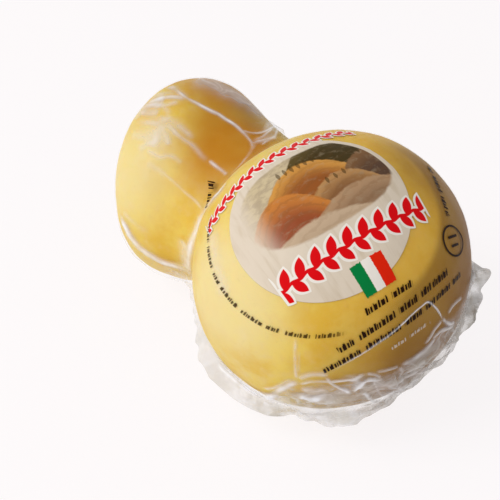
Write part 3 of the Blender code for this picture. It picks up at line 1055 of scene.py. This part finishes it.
# The flat print's parts, in mm where nothing else is said.
OVAL_MIDDLE, OVAL_RADII = (0.6, 2.4), (25.4, 25.4)
OVAL_EDGE = 0.008                    # its soft edge, as a share of its radii
# A drawn noise, for the oval and the picture: how it is stretched and turned, and its scale,
# detail, roughness and distortion.
OVAL_STREAKS = ((0.42, 0.05, 1.0), (0.0, 0.0, 0.35), (1.0, 3.0, 0.6, 0.4))
PICTURE_GRAIN = ((0.30, 0.55, 1.0), (0.0, 0.0, -0.5), (1.0, 4.0, 0.6, 0.6))
BEIGE_STREAKS = (0.48, 0.75, 0.4)    # where the streaks set in, and how strong they are
PICTURE_MIDDLE, PICTURE_RADII = (3.4, 8.4), (22.4, 13.8)
PICTURE_SQUARENESS = 2.6
PICTURE_MARGIN = 1.5
PICTURE_FADE = (-20.5, -10.0)
PICTURE_EDGE, PICTURE_RAG = 0.06, 0.05               # soft edge, and how ragged, as shares
MARGIN_EDGE = 0.015
SKY_CLOUDS, FIELD_CLOUDS = (0.35, 0.65), (0.5, 0.75, 0.30)
# How far the grain moves crests and trees in mm, and turns the furrows.
CREST_SWAY, TREE_SWAY, FURROW_SWAY = 1.4, 0.5, 6.0
# The picture's hills from far to near: the crest's place and height, how fast it falls off
# to its sides, the colours of its crest and foot, how deep the foot lies, and its furrows.
HILLS = (
    ((15.0, 27.0), 0.042, colour(92, 76, 38), colour(70, 56, 26), 9.0, 0.3),
    ((2.0, 17.5), 0.050, colour(210, 150, 72), colour(150, 86, 40), 8.0, 0.8),
    ((22.5, 13.5), 0.055, colour(130, 94, 62), colour(92, 68, 54), 8.0, 0.8),
    ((9.5, 8.5), 0.050, colour(184, 138, 88), colour(134, 92, 58), 6.0, 0.9),
    ((-8.0, 10.8), 0.062, colour(200, 126, 58), colour(150, 76, 44), 9.0, 1.0),
    ((14.0, 3.2), 0.018, colour(180, 144, 110), colour(150, 118, 90), 6.0, 0.9),
    ((-4.0, -0.6), 0.012, colour(198, 172, 144), colour(188, 162, 134), 5.0, 0.6),
)
HILL_EDGE = 0.40
FURROW_TURNS = (2.3, 0.55)           # furrows down a hill, and how far they lean
FURROW_STRENGTH = 0.24
TREES_AFTER, TREE_STRENGTH = 3, 0.65                 # trees stand after the hill of this number
# Rows of pointed trees: first and last place, pitch, the foot's height and slope, half sizes.
TREE_ROWS = (
    ((-4.0, 10.5), 2.05, (15.6, -0.04), (1.55, 0.52)),
    ((17.5, 26.0), 1.85, (12.0, 0.06), (1.30, 0.50)),
    ((5.5, 12.5), 2.60, (6.3, 0.05), (1.15, 0.48)),
)
# Leaf rows: each leaf's rise from the stem, turn in degrees and half sizes.
BAND_LINE, BAND_ENDS, BAND_PITCH = -10.7, (-19.8, 27.2), 4.9
BAND_LEAVES = ((1.85, 60.0, 3.0, 1.38), (-1.75, -60.0, 2.6, 1.28))
BAND_STEM, BAND_SWAY, BAND_BORDER = 0.45, 0.25, 0.75
GARLAND_PEAK, GARLAND_SAG, GARLAND_ENDS, GARLAND_PITCH = (6.0, 26.6), 0.0033, (-28.4, 26.2), 3.8
GARLAND_LEAVES = ((1.05, 52.0, 2.15, 0.92), (-0.95, -48.0, 1.85, 0.80))
GARLAND_STEM, GARLAND_SWAY, GARLAND_BORDER = 0.24, 0.30, 0.55
STRIPES = ((-1.9, 1.5), (1.5, 4.4), (4.4, 8.0))
STRIPE_SPAN = (-25.0, -16.0)
STRIPE_BRUSH = (1.6, 3.0, 0.7)
STRIPE_SWAY = 0.6                    # how far the brush moves a stripe's sides
# Rows of small dark ticks: the ends along the print, the place and height of the row's lowest
# point, how strongly it curves up from there, and the row's half height.
TICK_ROWS = (
    ((-4.5, 12.8), (0.0, -28.3), 0.0, 1.25),
    ((-17.0, 28.0), (-3.0, -33.6), 0.0030, 1.30),
    ((-25.0, 34.0), (1.0, -37.9), 0.0035, 1.15),
)
# Columns of ticks: their two ends and their half height.
TICK_COLUMNS = (
    ((42.9, 4.3), (35.8, -15.1), 1.10),
    ((-19.0, 50.3), (-27.6, 42.4), 1.30),
)
# An arc of ticks, part of a ring: its middle, radius and half height, the two angles between
# which it is open, and its strength.
TICK_ARC, ARC_STRENGTH = ((1.0, 3.0), 35.2, 0.80, (-2.00, 2.45)), 0.80
PALE_TICKS = ((-2.6, 13.8), -42.7, 0.80, 0.42)     # ends, height, half height and strength
# Two waves whose sum makes groups of ticks, and two that make the ticks: turns and phase.
GROUP_WAVES = ((1.31, 0.0), (0.83, 1.0))
STROKE_WAVES = ((7.3, 0.0), (4.6, 0.5))
TALL_WAVE = (2.9, 0.4)               # where the taller ticks stand
TALL_SPAN, GROUP_SPAN, STROKE_SPAN = (0.35, 0.55), (-1.25, -1.15), (-0.55, -0.20)
TICK_LOW, TICK_LEAN = 0.62, 0.22     # height of the low ticks, and how far all lean
SEAL_MIDDLE, SEAL_RADII, SEAL_LINE = (34.3, -22.9), (5.1, 4.8), 0.34
SEAL_BARS = ((1.4, 2.4), (-1.4, 2.0))                # each bar's rise and half length
SEAL_BAR = 0.40                      # half a bar's height
SOFT = 0.08                          # half of an ink's soft edge
LEAST_COVER = 0.001


class Print:
    """The printed inks of the upper web, laid over each other in the flat print."""

    def __init__(self, finish, place, inks):
        self.finish = finish
        self.place = place
        self.inks = inks
        self.along, self.across, _ = finish.parts(place)
        self.inside_oval = self.oval(OVAL_MIDDLE, OVAL_RADII)
        self.tint = None
        self.cover = None

    def lay(self, mask, ink):
        """Lay an ink where its mask is 1, over the inks that are there. Where there is none,
        the ink keeps its full colour up to its soft edge."""
        if self.cover is None:
            self.tint, self.cover = ink, mask
            return
        cover = mask + self.cover * (1.0 - mask)
        share = (mask / cover.most(LEAST_COVER)).least(1.0)
        self.tint = self.finish.mix(share, self.tint, ink)
        self.cover = cover

    def oval(self, middle, radii, squareness=2.0):
        """How far in from an oval's edge a place is, as a share of its radii."""
        across = abs(self.along - middle[0]) * (1.0 / radii[0])
        upright = abs(self.across - middle[1]) * (1.0 / radii[1])
        return 1.0 - (across ** squareness + upright ** squareness) ** (1.0 / squareness)

    def drawn_noise(self, stretch, turn, noise):
        """Noise that is drawn out over the flat print."""
        return self.finish.noise(self.finish.stretched(self.place, stretch, turn), *noise)

    def between(self, value, start, stop):
        """1 between two values, with soft edges."""
        return value.eased(start - SOFT, start + SOFT).least(
            1.0 - value.eased(stop - SOFT, stop + SOFT))

    def leaf(self, right, rise, turn, half_length, half_width):
        """How far inside a pointed leaf a place is, in mm: the leaf's half width falls off
        with the square of the distance from its middle."""
        along = right * math.cos(turn) + rise * math.sin(turn)
        aside = rise * math.cos(turn) - right * math.sin(turn)
        return half_width * (1.0 - along * along * (1.0 / half_length ** 2)) - abs(aside)

    def leaf_row(self, rise, ends, pitch, leaves, stem, sway, border, ink):
        """A stem with leaves on both sides by turns, in a pale outline that hugs them."""
        start = self.along - ends[0]
        mark = stem - abs(rise + sway * (start * (2.0 * math.pi / pitch)).sine())
        for shift, (height, turn, half_length, half_width) in zip((0.0, 0.5), leaves):
            cell = (start + shift * pitch) % pitch - pitch / 2.0
            turn = math.radians(turn)
            mark = mark.most(self.leaf(cell, rise - height, turn, half_length, half_width))
        ground = self.between(self.along, ends[0] - border, ends[1] + border)
        self.lay(mark.eased(-border - SOFT, -border + SOFT) * ground, OUTLINE)
        self.lay(mark.eased(-SOFT, SOFT) * self.between(self.along, *ends), ink)


def lay_oval(sheet):
    """The cream oval, with soft beige streaks."""
    sheet.lay(sheet.inside_oval.eased(0.0, OVAL_EDGE), sheet.inks.cream)
    streaks = sheet.drawn_noise(*OVAL_STREAKS)
    sheet.tint = sheet.finish.mix(streaks.grown(*BEIGE_STREAKS), sheet.tint, BEIGE)


def lay_picture(sheet):
    """A plain picture of rolling fields: far woods, ochre, rust and stone-brown hills with
    furrows, rows of pointed trees, and pale fields in front. A hill's crest falls off with
    the square of the distance from its peak."""
    finish, along, across = sheet.finish, sheet.along, sheet.across
    grain = sheet.drawn_noise(*PICTURE_GRAIN)
    rough = grain - 0.5
    tint = finish.mix(grain.eased(*SKY_CLOUDS), SKY, CLOUD)
    trees = None
    for ends, pitch, (foot, slope), (half_height, half_width) in TREE_ROWS:
        start = along - ends[0]
        cell = start % pitch - pitch / 2.0 + rough * TREE_SWAY
        rise = across - foot - start * slope - half_height
        tree = sheet.leaf(cell, rise, math.pi / 2.0, half_height, half_width)
        tree = tree.eased(-SOFT, SOFT) * sheet.between(along, *ends)
        trees = trees.most(tree) if trees else tree
    for number, (peak, drop, crest, foot, depth, furrows) in enumerate(HILLS):
        offset = along - peak[0]
        below = peak[1] - drop * offset * offset - across + rough * CREST_SWAY
        face = finish.mix(below.eased(0.0, depth), crest, foot)
        furrow = below * FURROW_TURNS[0] + along * FURROW_TURNS[1] + rough * FURROW_SWAY
        face = finish.mix(furrow.sine().grown(0.0, 1.0, furrows * FURROW_STRENGTH), face, FURROW)
        face = finish.mix(grain.grown(*FIELD_CLOUDS), face, CLOUD)
        tint = finish.mix(below.eased(-HILL_EDGE, HILL_EDGE), tint, face)
        if number == TREES_AFTER:
            tint = finish.mix(trees * TREE_STRENGTH, tint, WOODS)
    inside = sheet.oval(PICTURE_MIDDLE, PICTURE_RADII, PICTURE_SQUARENESS)
    margin = sheet.inside_oval - PICTURE_MARGIN / OVAL_RADII[0]
    mask = (inside + rough * PICTURE_RAG).eased(0.0, PICTURE_EDGE)
    mask = mask * margin.eased(0.0, MARGIN_EDGE) * along.eased(*PICTURE_FADE)
    sheet.tint = finish.mix(mask, sheet.tint, tint)


def lay_leaf_rows(sheet):
    """The bold red row of leaves, and the thin red garland along a nearly straight arc."""
    sheet.leaf_row(sheet.across - BAND_LINE, BAND_ENDS, BAND_PITCH, BAND_LEAVES,
                   BAND_STEM, BAND_SWAY, BAND_BORDER, sheet.inks.leaf_red)
    offset = sheet.along - GARLAND_PEAK[0]
    rise = sheet.across - (GARLAND_PEAK[1] - GARLAND_SAG * offset * offset)
    sheet.leaf_row(rise, GARLAND_ENDS, GARLAND_PITCH, GARLAND_LEAVES,
                   GARLAND_STEM, GARLAND_SWAY, GARLAND_BORDER, sheet.inks.leaf_red)


def lay_stripes(sheet):
    """Three upright stripes with brushed edges."""
    brush = sheet.finish.noise(sheet.place, *STRIPE_BRUSH) - 0.5
    along = sheet.along + brush * STRIPE_SWAY
    upright = sheet.between(sheet.across + brush, *STRIPE_SPAN)
    inks = (sheet.inks.stripe_green, OUTLINE, sheet.inks.stripe_red)
    for ends, ink in zip(STRIPES, inks):
        sheet.lay(sheet.between(along, *ends) * upright, ink)


def ticks(run, aside, half):
    """Fine ticks of two heights in groups of varied length along a run in mm: the groups lie
    where two unlike waves add up enough, and the ticks where a faster pair does. They lean."""
    lean = run - aside * TICK_LEAN
    groups = sum((lean * turns + phase).sine() for turns, phase in GROUP_WAVES)
    strokes = sum((lean * turns + phase).sine() for turns, phase in STROKE_WAVES)
    tall = (lean * TALL_WAVE[0] + TALL_WAVE[1]).sine().eased(*TALL_SPAN)
    rise = half * (TICK_LOW + (1.0 - TICK_LOW) * tall)
    inside = (rise - aside).least(aside + half * TICK_LOW).eased(-SOFT, SOFT)
    return groups.eased(*GROUP_SPAN) * strokes.eased(*STROKE_SPAN) * inside


def lay_ticks(sheet):
    """Rows, columns and an arc of small dark ticks, a pale row, and a plain round seal with
    two bars."""
    ink = sheet.inks.ink
    for ends, lowest, curve, half in TICK_ROWS:
        offset = sheet.along - lowest[0]
        aside = sheet.across - lowest[1] - curve * offset * offset
        sheet.lay(sheet.between(sheet.along, *ends) * ticks(sheet.along, aside, half), ink)
    for start, stop, half in TICK_COLUMNS:
        run = np.subtract(stop, start)
        length = float(np.hypot(*run))
        right, rise = float(run[0]) / length, float(run[1]) / length
        along = (sheet.along - start[0]) * right + (sheet.across - start[1]) * rise
        aside = (sheet.across - start[1]) * right - (sheet.along - start[0]) * rise
        sheet.lay(sheet.between(along, 0.0, length) * ticks(along, aside, half), ink)
    middle, radius, half, gap = TICK_ARC
    right, upright = sheet.along - middle[0], sheet.across - middle[1]
    away = (right * right + upright * upright).root()
    turn = upright.turn_from(right)
    span = 1.0 - sheet.between(turn, *gap)
    sheet.lay(span * ticks(turn * radius, radius - away, half) * ARC_STRENGTH, ink)
    ends, height, half, share = PALE_TICKS
    pale = sheet.between(sheet.along, *ends) * ticks(sheet.along, sheet.across - height, half)
    sheet.lay(pale * share, OUTLINE)
    edge = abs(sheet.oval(SEAL_MIDDLE, SEAL_RADII)) * SEAL_RADII[0]
    sheet.lay((SEAL_LINE - edge).eased(-SOFT, SOFT), ink)
    for rise, half_length in SEAL_BARS:
        bar = (half_length - abs(sheet.along - SEAL_MIDDLE[0])).least(
            SEAL_BAR - abs(sheet.across - SEAL_MIDDLE[1] - rise))
        sheet.lay(bar.eased(-SOFT, SOFT), ink)


# ---------------------------------------------------------------------------- film finish
MILK = colour(246, 246, 251)
MILK_SHADE = colour(212, 207, 198)
# Noise of the film: its scale, detail and roughness, and how the streaks are stretched.
CLOUDS = (120.0, 3.0, 0.6)
STREAKS = (1.0, 3.0, 0.6)
STREAK_STRETCH = (60.0, 60.0, 220.0)
GRAIN = (420.0, 2.0, 0.5)
# How much of the film's milk covers what lies behind it: bare film, haze and what its streaks add,
# creases, and the rim, where one looks along the film and its milk is a painted sheen.
BARE_COVER = 0.008
HAZE_COVER, STREAK_COVER = 0.74, 0.80
POCKETS, POCKET_SPAN, POCKET_LEAST = (150.0, 2.0, 0.5), (0.40, 0.56), 0.42
# Fine wrinkles where the film is hazy: their noise, how sharp they are and their milk.
WRINKLES, WRINKLE_SHARPNESS, WRINKLE_COVER = (105.0, 1.0, 0.5, 1.1), 13.0, 0.55
# On the side away from the key light the film is painted greyer, as painted shade: the direction,
# and where that sets in and ends in mm. On the side towards the key light its milk is painted even
# and pale, up to where its clouds set in.
PAINTED_SHADE_GREY = colour(140, 129, 102)
LIT_SIDE_SPAN, LIT_SIDE_CLOUDS = (-32.0, -10.0), 0.25
SHADED_SIDE, GREY_START, GREY_END = (0.75, 0.66, 0.0), (6.0, 34.0), (40.0, 45.0)
GREY_HAZE = (0.2, 0.5, 0.40)         # the haze over which it sets in there, and its strength
SHADE_CLOUDS, SHADE_HAZE = (0.35, 0.65), (0.2, 0.7)  # where the milk's darker clouds set in
CREASE_COVER = 0.80
CREASE_PALING = 0.45                 # how much of the print's colour a crease takes away
RIM_SHEEN, RIM_POWER, RIM_BLEND = 0.12, 5.0, 0.35
INK_COVER, MOST_COVER = 0.985, 0.985
FILM_ROUGHNESS = (0.30, 0.15)        # the least, and what the clouds add


def film_finish(name, looks, inks=None):
    """Clear film: see-through where it lies tight, milky where it stands off and creases."""
    finish = Finish(name)
    place = finish.node("ShaderNodeTexCoord", output="Object")
    haze = finish.field("haze", "Fac")
    crease = finish.field("crease", "Fac")
    cloud = finish.noise(place, *CLOUDS)
    streak = finish.noise(finish.stretched(place, STREAK_STRETCH), *STREAKS)
    facing = finish.node("ShaderNodeLayerWeight", {}, {"Blend": RIM_BLEND}, "Facing")
    pocket = finish.noise(place, *POCKETS).eased(*POCKET_SPAN)
    side = finish.towards(place, SHADED_SIDE)
    # Towards the key light the film gets fewer dark clouds and pockets, as painted light.
    away_from_light = side.eased(*in_mm(LIT_SIDE_SPAN))
    shade = cloud.eased(*SHADE_CLOUDS) * haze.eased(*SHADE_HAZE) * (1.0 - crease)
    shade = shade * (LIT_SIDE_CLOUDS + (1.0 - LIT_SIDE_CLOUDS) * away_from_light)
    tint = finish.mix(shade, looks.milk, looks.milk_shade)
    thick = HAZE_COVER * (1.0 - (1.0 - POCKET_LEAST) * (1.0 - pocket) * away_from_light)
    thick = thick + STREAK_COVER * (streak - 0.5)
    wrinkle = (1.0 - abs(finish.noise(place, *WRINKLES) - 0.5) * WRINKLE_SHARPNESS).most(0.0)
    cover = BARE_COVER + haze * (thick + wrinkle * WRINKLE_COVER * (1.0 - haze)) * looks.haze
    # Painted shade: grey on the side away from the key light.
    painted_shade_grey = side.eased(*in_mm(GREY_START)) * (1.0 - side.eased(*in_mm(GREY_END)))
    tint = finish.mix(painted_shade_grey * haze.grown(*GREY_HAZE), tint, looks.painted_shade_grey)
    # The rim's milk is a painted sheen where one looks along the film.
    cover = cover + crease * CREASE_COVER + facing ** RIM_POWER * RIM_SHEEN
    if inks:
        sheet = Print(finish, finish.field("print_place", "Vector"), inks)
        for lay in (lay_oval, lay_picture, lay_leaf_rows, lay_stripes, lay_ticks):
            lay(sheet)
        printed = cover.most(sheet.cover * INK_COVER)
        share = (sheet.cover / printed.most(LEAST_COVER)).least(1.0)
        tint = finish.mix(share * (1.0 - crease * CREASE_PALING), tint, sheet.tint)
        cover = printed
    cover = cover.least(MOST_COVER).most(0.0)
    grain = finish.noise(place, *GRAIN)
    inputs = {"Strength": 0.15, "Distance": 0.2 * MM, "Height": grain}
    bump = finish.node("ShaderNodeBump", {}, inputs)
    film = finish.node("ShaderNodeBsdfPrincipled", {}, {
        "Base Color": tint,
        "Roughness": FILM_ROUGHNESS[0] + FILM_ROUGHNESS[1] * cloud,
        "Normal": bump,
        "Specular IOR Level": 0.06,
    })
    clear = finish.node("ShaderNodeBsdfTransparent")
    return finish.close(finish.node("ShaderNodeMixShader", {}, {0: cover, 1: clear, 2: film}))


# ---------------------------------------------------------------------------- pieces
def make_cheese(looks):
    """The bare cheese, a closed grid from its crest to the line under the spine."""
    _, spine, outward = path_round_spine(CHEESE_COLUMNS)
    directions = rays(outward, math.pi / 2.0 - math.pi * spread(CHEESE_ROWS))
    starts = np.broadcast_to(spine, directions.shape)
    lengths = ray_lengths(distance_to_cheese, starts, directions)
    points = starts + directions * lengths[..., None]
    swell = relief(points) * looks.relief - CHEESE_INSET
    points = points + slope_of(distance_to_cheese, points) * swell[..., None]
    points[..., 2] = np.maximum(points[..., 2], CHEESE_FLAT)
    add_piece("cheese", web_mesh("cheese", points, {}), smoked_curd(looks))


def make_film(looks, inks):
    """The film's cap, flank, apron with skirt, and lower web, sealed at the edge."""
    printed = film_finish("printed_film", looks, inks)
    clear = film_finish("clear_film", looks)
    finishes = {"film_cap": printed, "film_flank": printed, "film_apron": printed,
                "film_lower": clear}
    webs = film_webs(looks.crumple, looks.crease)
    for (name, finish), (grid, haze, crease) in zip(finishes.items(), webs):
        fields = {"haze": haze, "crease": crease}
        if finish is printed:
            fields["print_place"] = print_places(grid)
        add_piece(name, web_mesh(name, grid, fields), finish)


# ---------------------------------------------------------------------------- stage
NEAREST_VIEW = 0.01
FLOOR_TINT = colour(92, 90, 90)
FLOOR_GLOW = colour(241, 238, 239)
FLOOR_HALF = 3.0
FLOOR_DROP = 0.1 * MM
KEY_PLACE, KEY_TARGET = (-0.24, -0.60, 0.77), (-0.01, 0.0, 0.03)
KEY_TINT = (0.985, 0.98, 0.97)
KEY_POWER, KEY_SIZE = 5.4, 0.5
SURROUNDINGS, SURROUNDINGS_LIGHT = (1.0, 0.985, 0.955, 1.0), 0.49


def make_floor(looks):
    """A plain pale floor just under the pack. It shines a little, as a lit backdrop does."""
    data = bpy.data.meshes.new("floor")
    square = ((-1, -1), (1, -1), (1, 1), (-1, 1))
    corners = [(x * FLOOR_HALF, y * FLOOR_HALF, -FLOOR_DROP) for x, y in square]
    data.from_pydata(corners, [], [(0, 1, 2, 3)])
    floor = bpy.data.objects.new("floor", data)
    bpy.context.collection.objects.link(floor)
    finish = Finish("pale_floor")
    surface = finish.node("ShaderNodeBsdfPrincipled", {}, {
        "Base Color": tuple(looks.floor), "Roughness": 0.85, "Specular IOR Level": 0.2,
        "Emission Color": tuple(looks.floor_glow), "Emission Strength": 1.0})
    data.materials.append(finish.close(surface))


def add_light(name, place, target, size, power, tint):
    """A square area light at a place, turned to a target."""
    lamp = bpy.data.lights.new(name, "AREA")
    lamp.size = size
    lamp.energy = power
    lamp.color = tint
    holder = bpy.data.objects.new(name, lamp)
    holder.location = place
    holder.rotation_euler = (Vector(target) - Vector(place)).to_track_quat("-Z", "Y").to_euler()
    bpy.context.collection.objects.link(holder)


def make_stage(looks):
    """The floor, a soft key from the left, the pale surroundings and the camera."""
    make_floor(looks)
    add_light("key", KEY_PLACE, KEY_TARGET, looks.key_size, looks.key_power, KEY_TINT)
    world = bpy.data.worlds.new("studio")
    world.use_nodes = True
    glow = world.node_tree.nodes["Background"]
    glow.inputs["Color"].default_value = SURROUNDINGS
    glow.inputs["Strength"].default_value = looks.surroundings
    scene = bpy.context.scene
    scene.world = world
    scene.view_settings.view_transform = "Standard"
    camera = bpy.data.cameras.new("camera")
    camera.lens = LENS
    camera.sensor_width = SENSOR
    camera.clip_start = NEAREST_VIEW
    holder = bpy.data.objects.new("camera", camera)
    holder.location = EYE
    holder.rotation_euler = Vector(AIM).to_track_quat("-Z", "Y").to_euler()
    bpy.context.collection.objects.link(holder)
    scene.camera = holder


# ---------------------------------------------------------------------------- settings
def colour_choice(name, description, default):
    """A colour that a user may change."""
    return bpy.props.FloatVectorProperty(
        name=name, description=description, default=default, size=4, min=0.0, max=1.0,
        subtype="COLOR")


def strength_choice(name, description, default, most):
    """A strength that a user may change."""
    return bpy.props.FloatProperty(
        name=name, description=description, default=default, min=0.0, max=most, subtype="FACTOR")


class CheeseLooks(bpy.types.PropertyGroup):
    """Colours and relief of the cheese"""
    curd: colour_choice("Curd", "Colour of the plain curd", CURD)
    deep_curd: colour_choice("Deep curd", "Colour of the curd's darker mottle", DEEP_CURD)
    # Bloom also paints light: the cheese is painted paler where the key light falls most.
    bloom_and_light: colour_choice("Bloom", "Colour of the pale bloom on the curd", BLOOM_AND_LIGHT)
    # Ochre is painted towards the side away from the key light, partly as painted shade.
    ochre: colour_choice("Ochre", "Colour to which the curd turns on one side", OCHRE)
    smoke: colour_choice("Smoke", "Colour where the smoke took", SMOKE)
    # Deep smoke also paints shade on the side away from the key light.
    deep_smoke_and_shade: colour_choice("Deep smoke", "Colour where the smoke took most", DEEP_SMOKE_AND_SHADE)
    relief: strength_choice("Relief", "How uneven the cheese's surface is", 1.0, 1.0)


class FilmLooks(bpy.types.PropertyGroup):
    """Milkiness and folds of the film"""
    milk: colour_choice("Milk", "Colour of clouded and creased film", MILK)
    milk_shade: colour_choice("Milk shade", "Colour of the film's darker clouds", MILK_SHADE)
    # Grey is painted shade on the side away from the key light.
    painted_shade_grey: colour_choice("Grey", "Colour where several layers of film lie on each other", PAINTED_SHADE_GREY)
    haze: strength_choice("Haze", "How milky the loose film is", 1.0, 2.0)
    crumple: strength_choice("Crumple", "How high the skirt's folds are", 1.0, 2.0)
    crease: strength_choice("Creases", "How high the single creases stand", 1.0, 4.0)


class PrintLooks(bpy.types.PropertyGroup):
    """Inks of the print"""
    cream: colour_choice("Cream", "Colour of the oval", CREAM)
    leaf_red: colour_choice("Leaf red", "Colour of the leaves and the garland", LEAF_RED)
    stripe_green: colour_choice("Stripe green", "Colour of the first stripe", STRIPE_GREEN)
    stripe_red: colour_choice("Stripe red", "Colour of the third stripe", STRIPE_RED)
    ink: colour_choice("Ink", "Colour of the small ticks and the seal", INK)


class StageLooks(bpy.types.PropertyGroup):
    """Floor and light"""
    floor: colour_choice("Floor", "Colour of the floor", FLOOR_TINT)
    floor_glow: colour_choice("Floor glow", "Colour that the floor gives off", FLOOR_GLOW)
    key_power: bpy.props.FloatProperty(
        name="Key power", description="Power of the soft light from the left", default=KEY_POWER,
        min=0.0, unit="POWER")
    key_size: bpy.props.FloatProperty(
        name="Key size", description="Side of the square soft light", default=KEY_SIZE,
        min=0.01, subtype="DISTANCE", unit="LENGTH")
    surroundings: strength_choice(
        "Surroundings", "Brightness of the pale room", SURROUNDINGS_LIGHT, 2.0)


# ---------------------------------------------------------------------------- add-on
class MakeCheese(bpy.types.Operator):
    """Make the smoked cheese"""
    bl_idname = "scamorza.make_cheese"
    bl_label = "Make the cheese"

    def execute(self, context):
        make_cheese(context.scene.scamorza_cheese)
        return {"FINISHED"}


class MakeFilm(bpy.types.Operator):
    """Make both webs of printed film round the cheese"""
    bl_idname = "scamorza.make_film"
    bl_label = "Make the film"

    def execute(self, context):
        make_film(context.scene.scamorza_film, context.scene.scamorza_print)
        return {"FINISHED"}


class MakeStage(bpy.types.Operator):
    """Make the floor, the light and the camera"""
    bl_idname = "scamorza.make_stage"
    bl_label = "Make the stage"

    def execute(self, context):
        make_stage(context.scene.scamorza_stage)
        return {"FINISHED"}


class ScamorzaPanel(bpy.types.Panel):
    """Settings of the cheese, its film and its stage, each with its operator"""
    bl_idname = "VIEW3D_PT_scamorza"
    bl_label = "Scamorza"
    bl_space_type = "VIEW_3D"
    bl_region_type = "UI"
    bl_category = "Scamorza"

    def draw(self, context):
        for group, make in GROUPS:
            box = self.layout.box()
            for name in group:
                looks = getattr(context.scene, name)
                for key in looks.__annotations__:
                    box.prop(looks, key)
            box.operator(make.bl_idname)


GROUPS = (
    (("scamorza_cheese",), MakeCheese),
    (("scamorza_film", "scamorza_print"), MakeFilm),
    (("scamorza_stage",), MakeStage),
)
SETTINGS = {
    "scamorza_cheese": CheeseLooks,
    "scamorza_film": FilmLooks,
    "scamorza_print": PrintLooks,
    "scamorza_stage": StageLooks,
}
CLASSES = (*SETTINGS.values(), MakeCheese, MakeFilm, MakeStage, ScamorzaPanel)


def register():
    """Register the classes, and give each scene its settings."""
    for part in CLASSES:
        bpy.utils.register_class(part)
    for name, group in SETTINGS.items():
        setattr(bpy.types.Scene, name, bpy.props.PointerProperty(type=group))


def unregister():
    """Remove the settings and the classes."""
    for name in SETTINGS:
        delattr(bpy.types.Scene, name)
    for part in reversed(CLASSES):
        bpy.utils.unregister_class(part)


def main():
    """Make every piece and the stage."""
    register()
    bpy.ops.scamorza.make_cheese()
    bpy.ops.scamorza.make_film()
    bpy.ops.scamorza.make_stage()


if __name__ == "__main__":
    main()
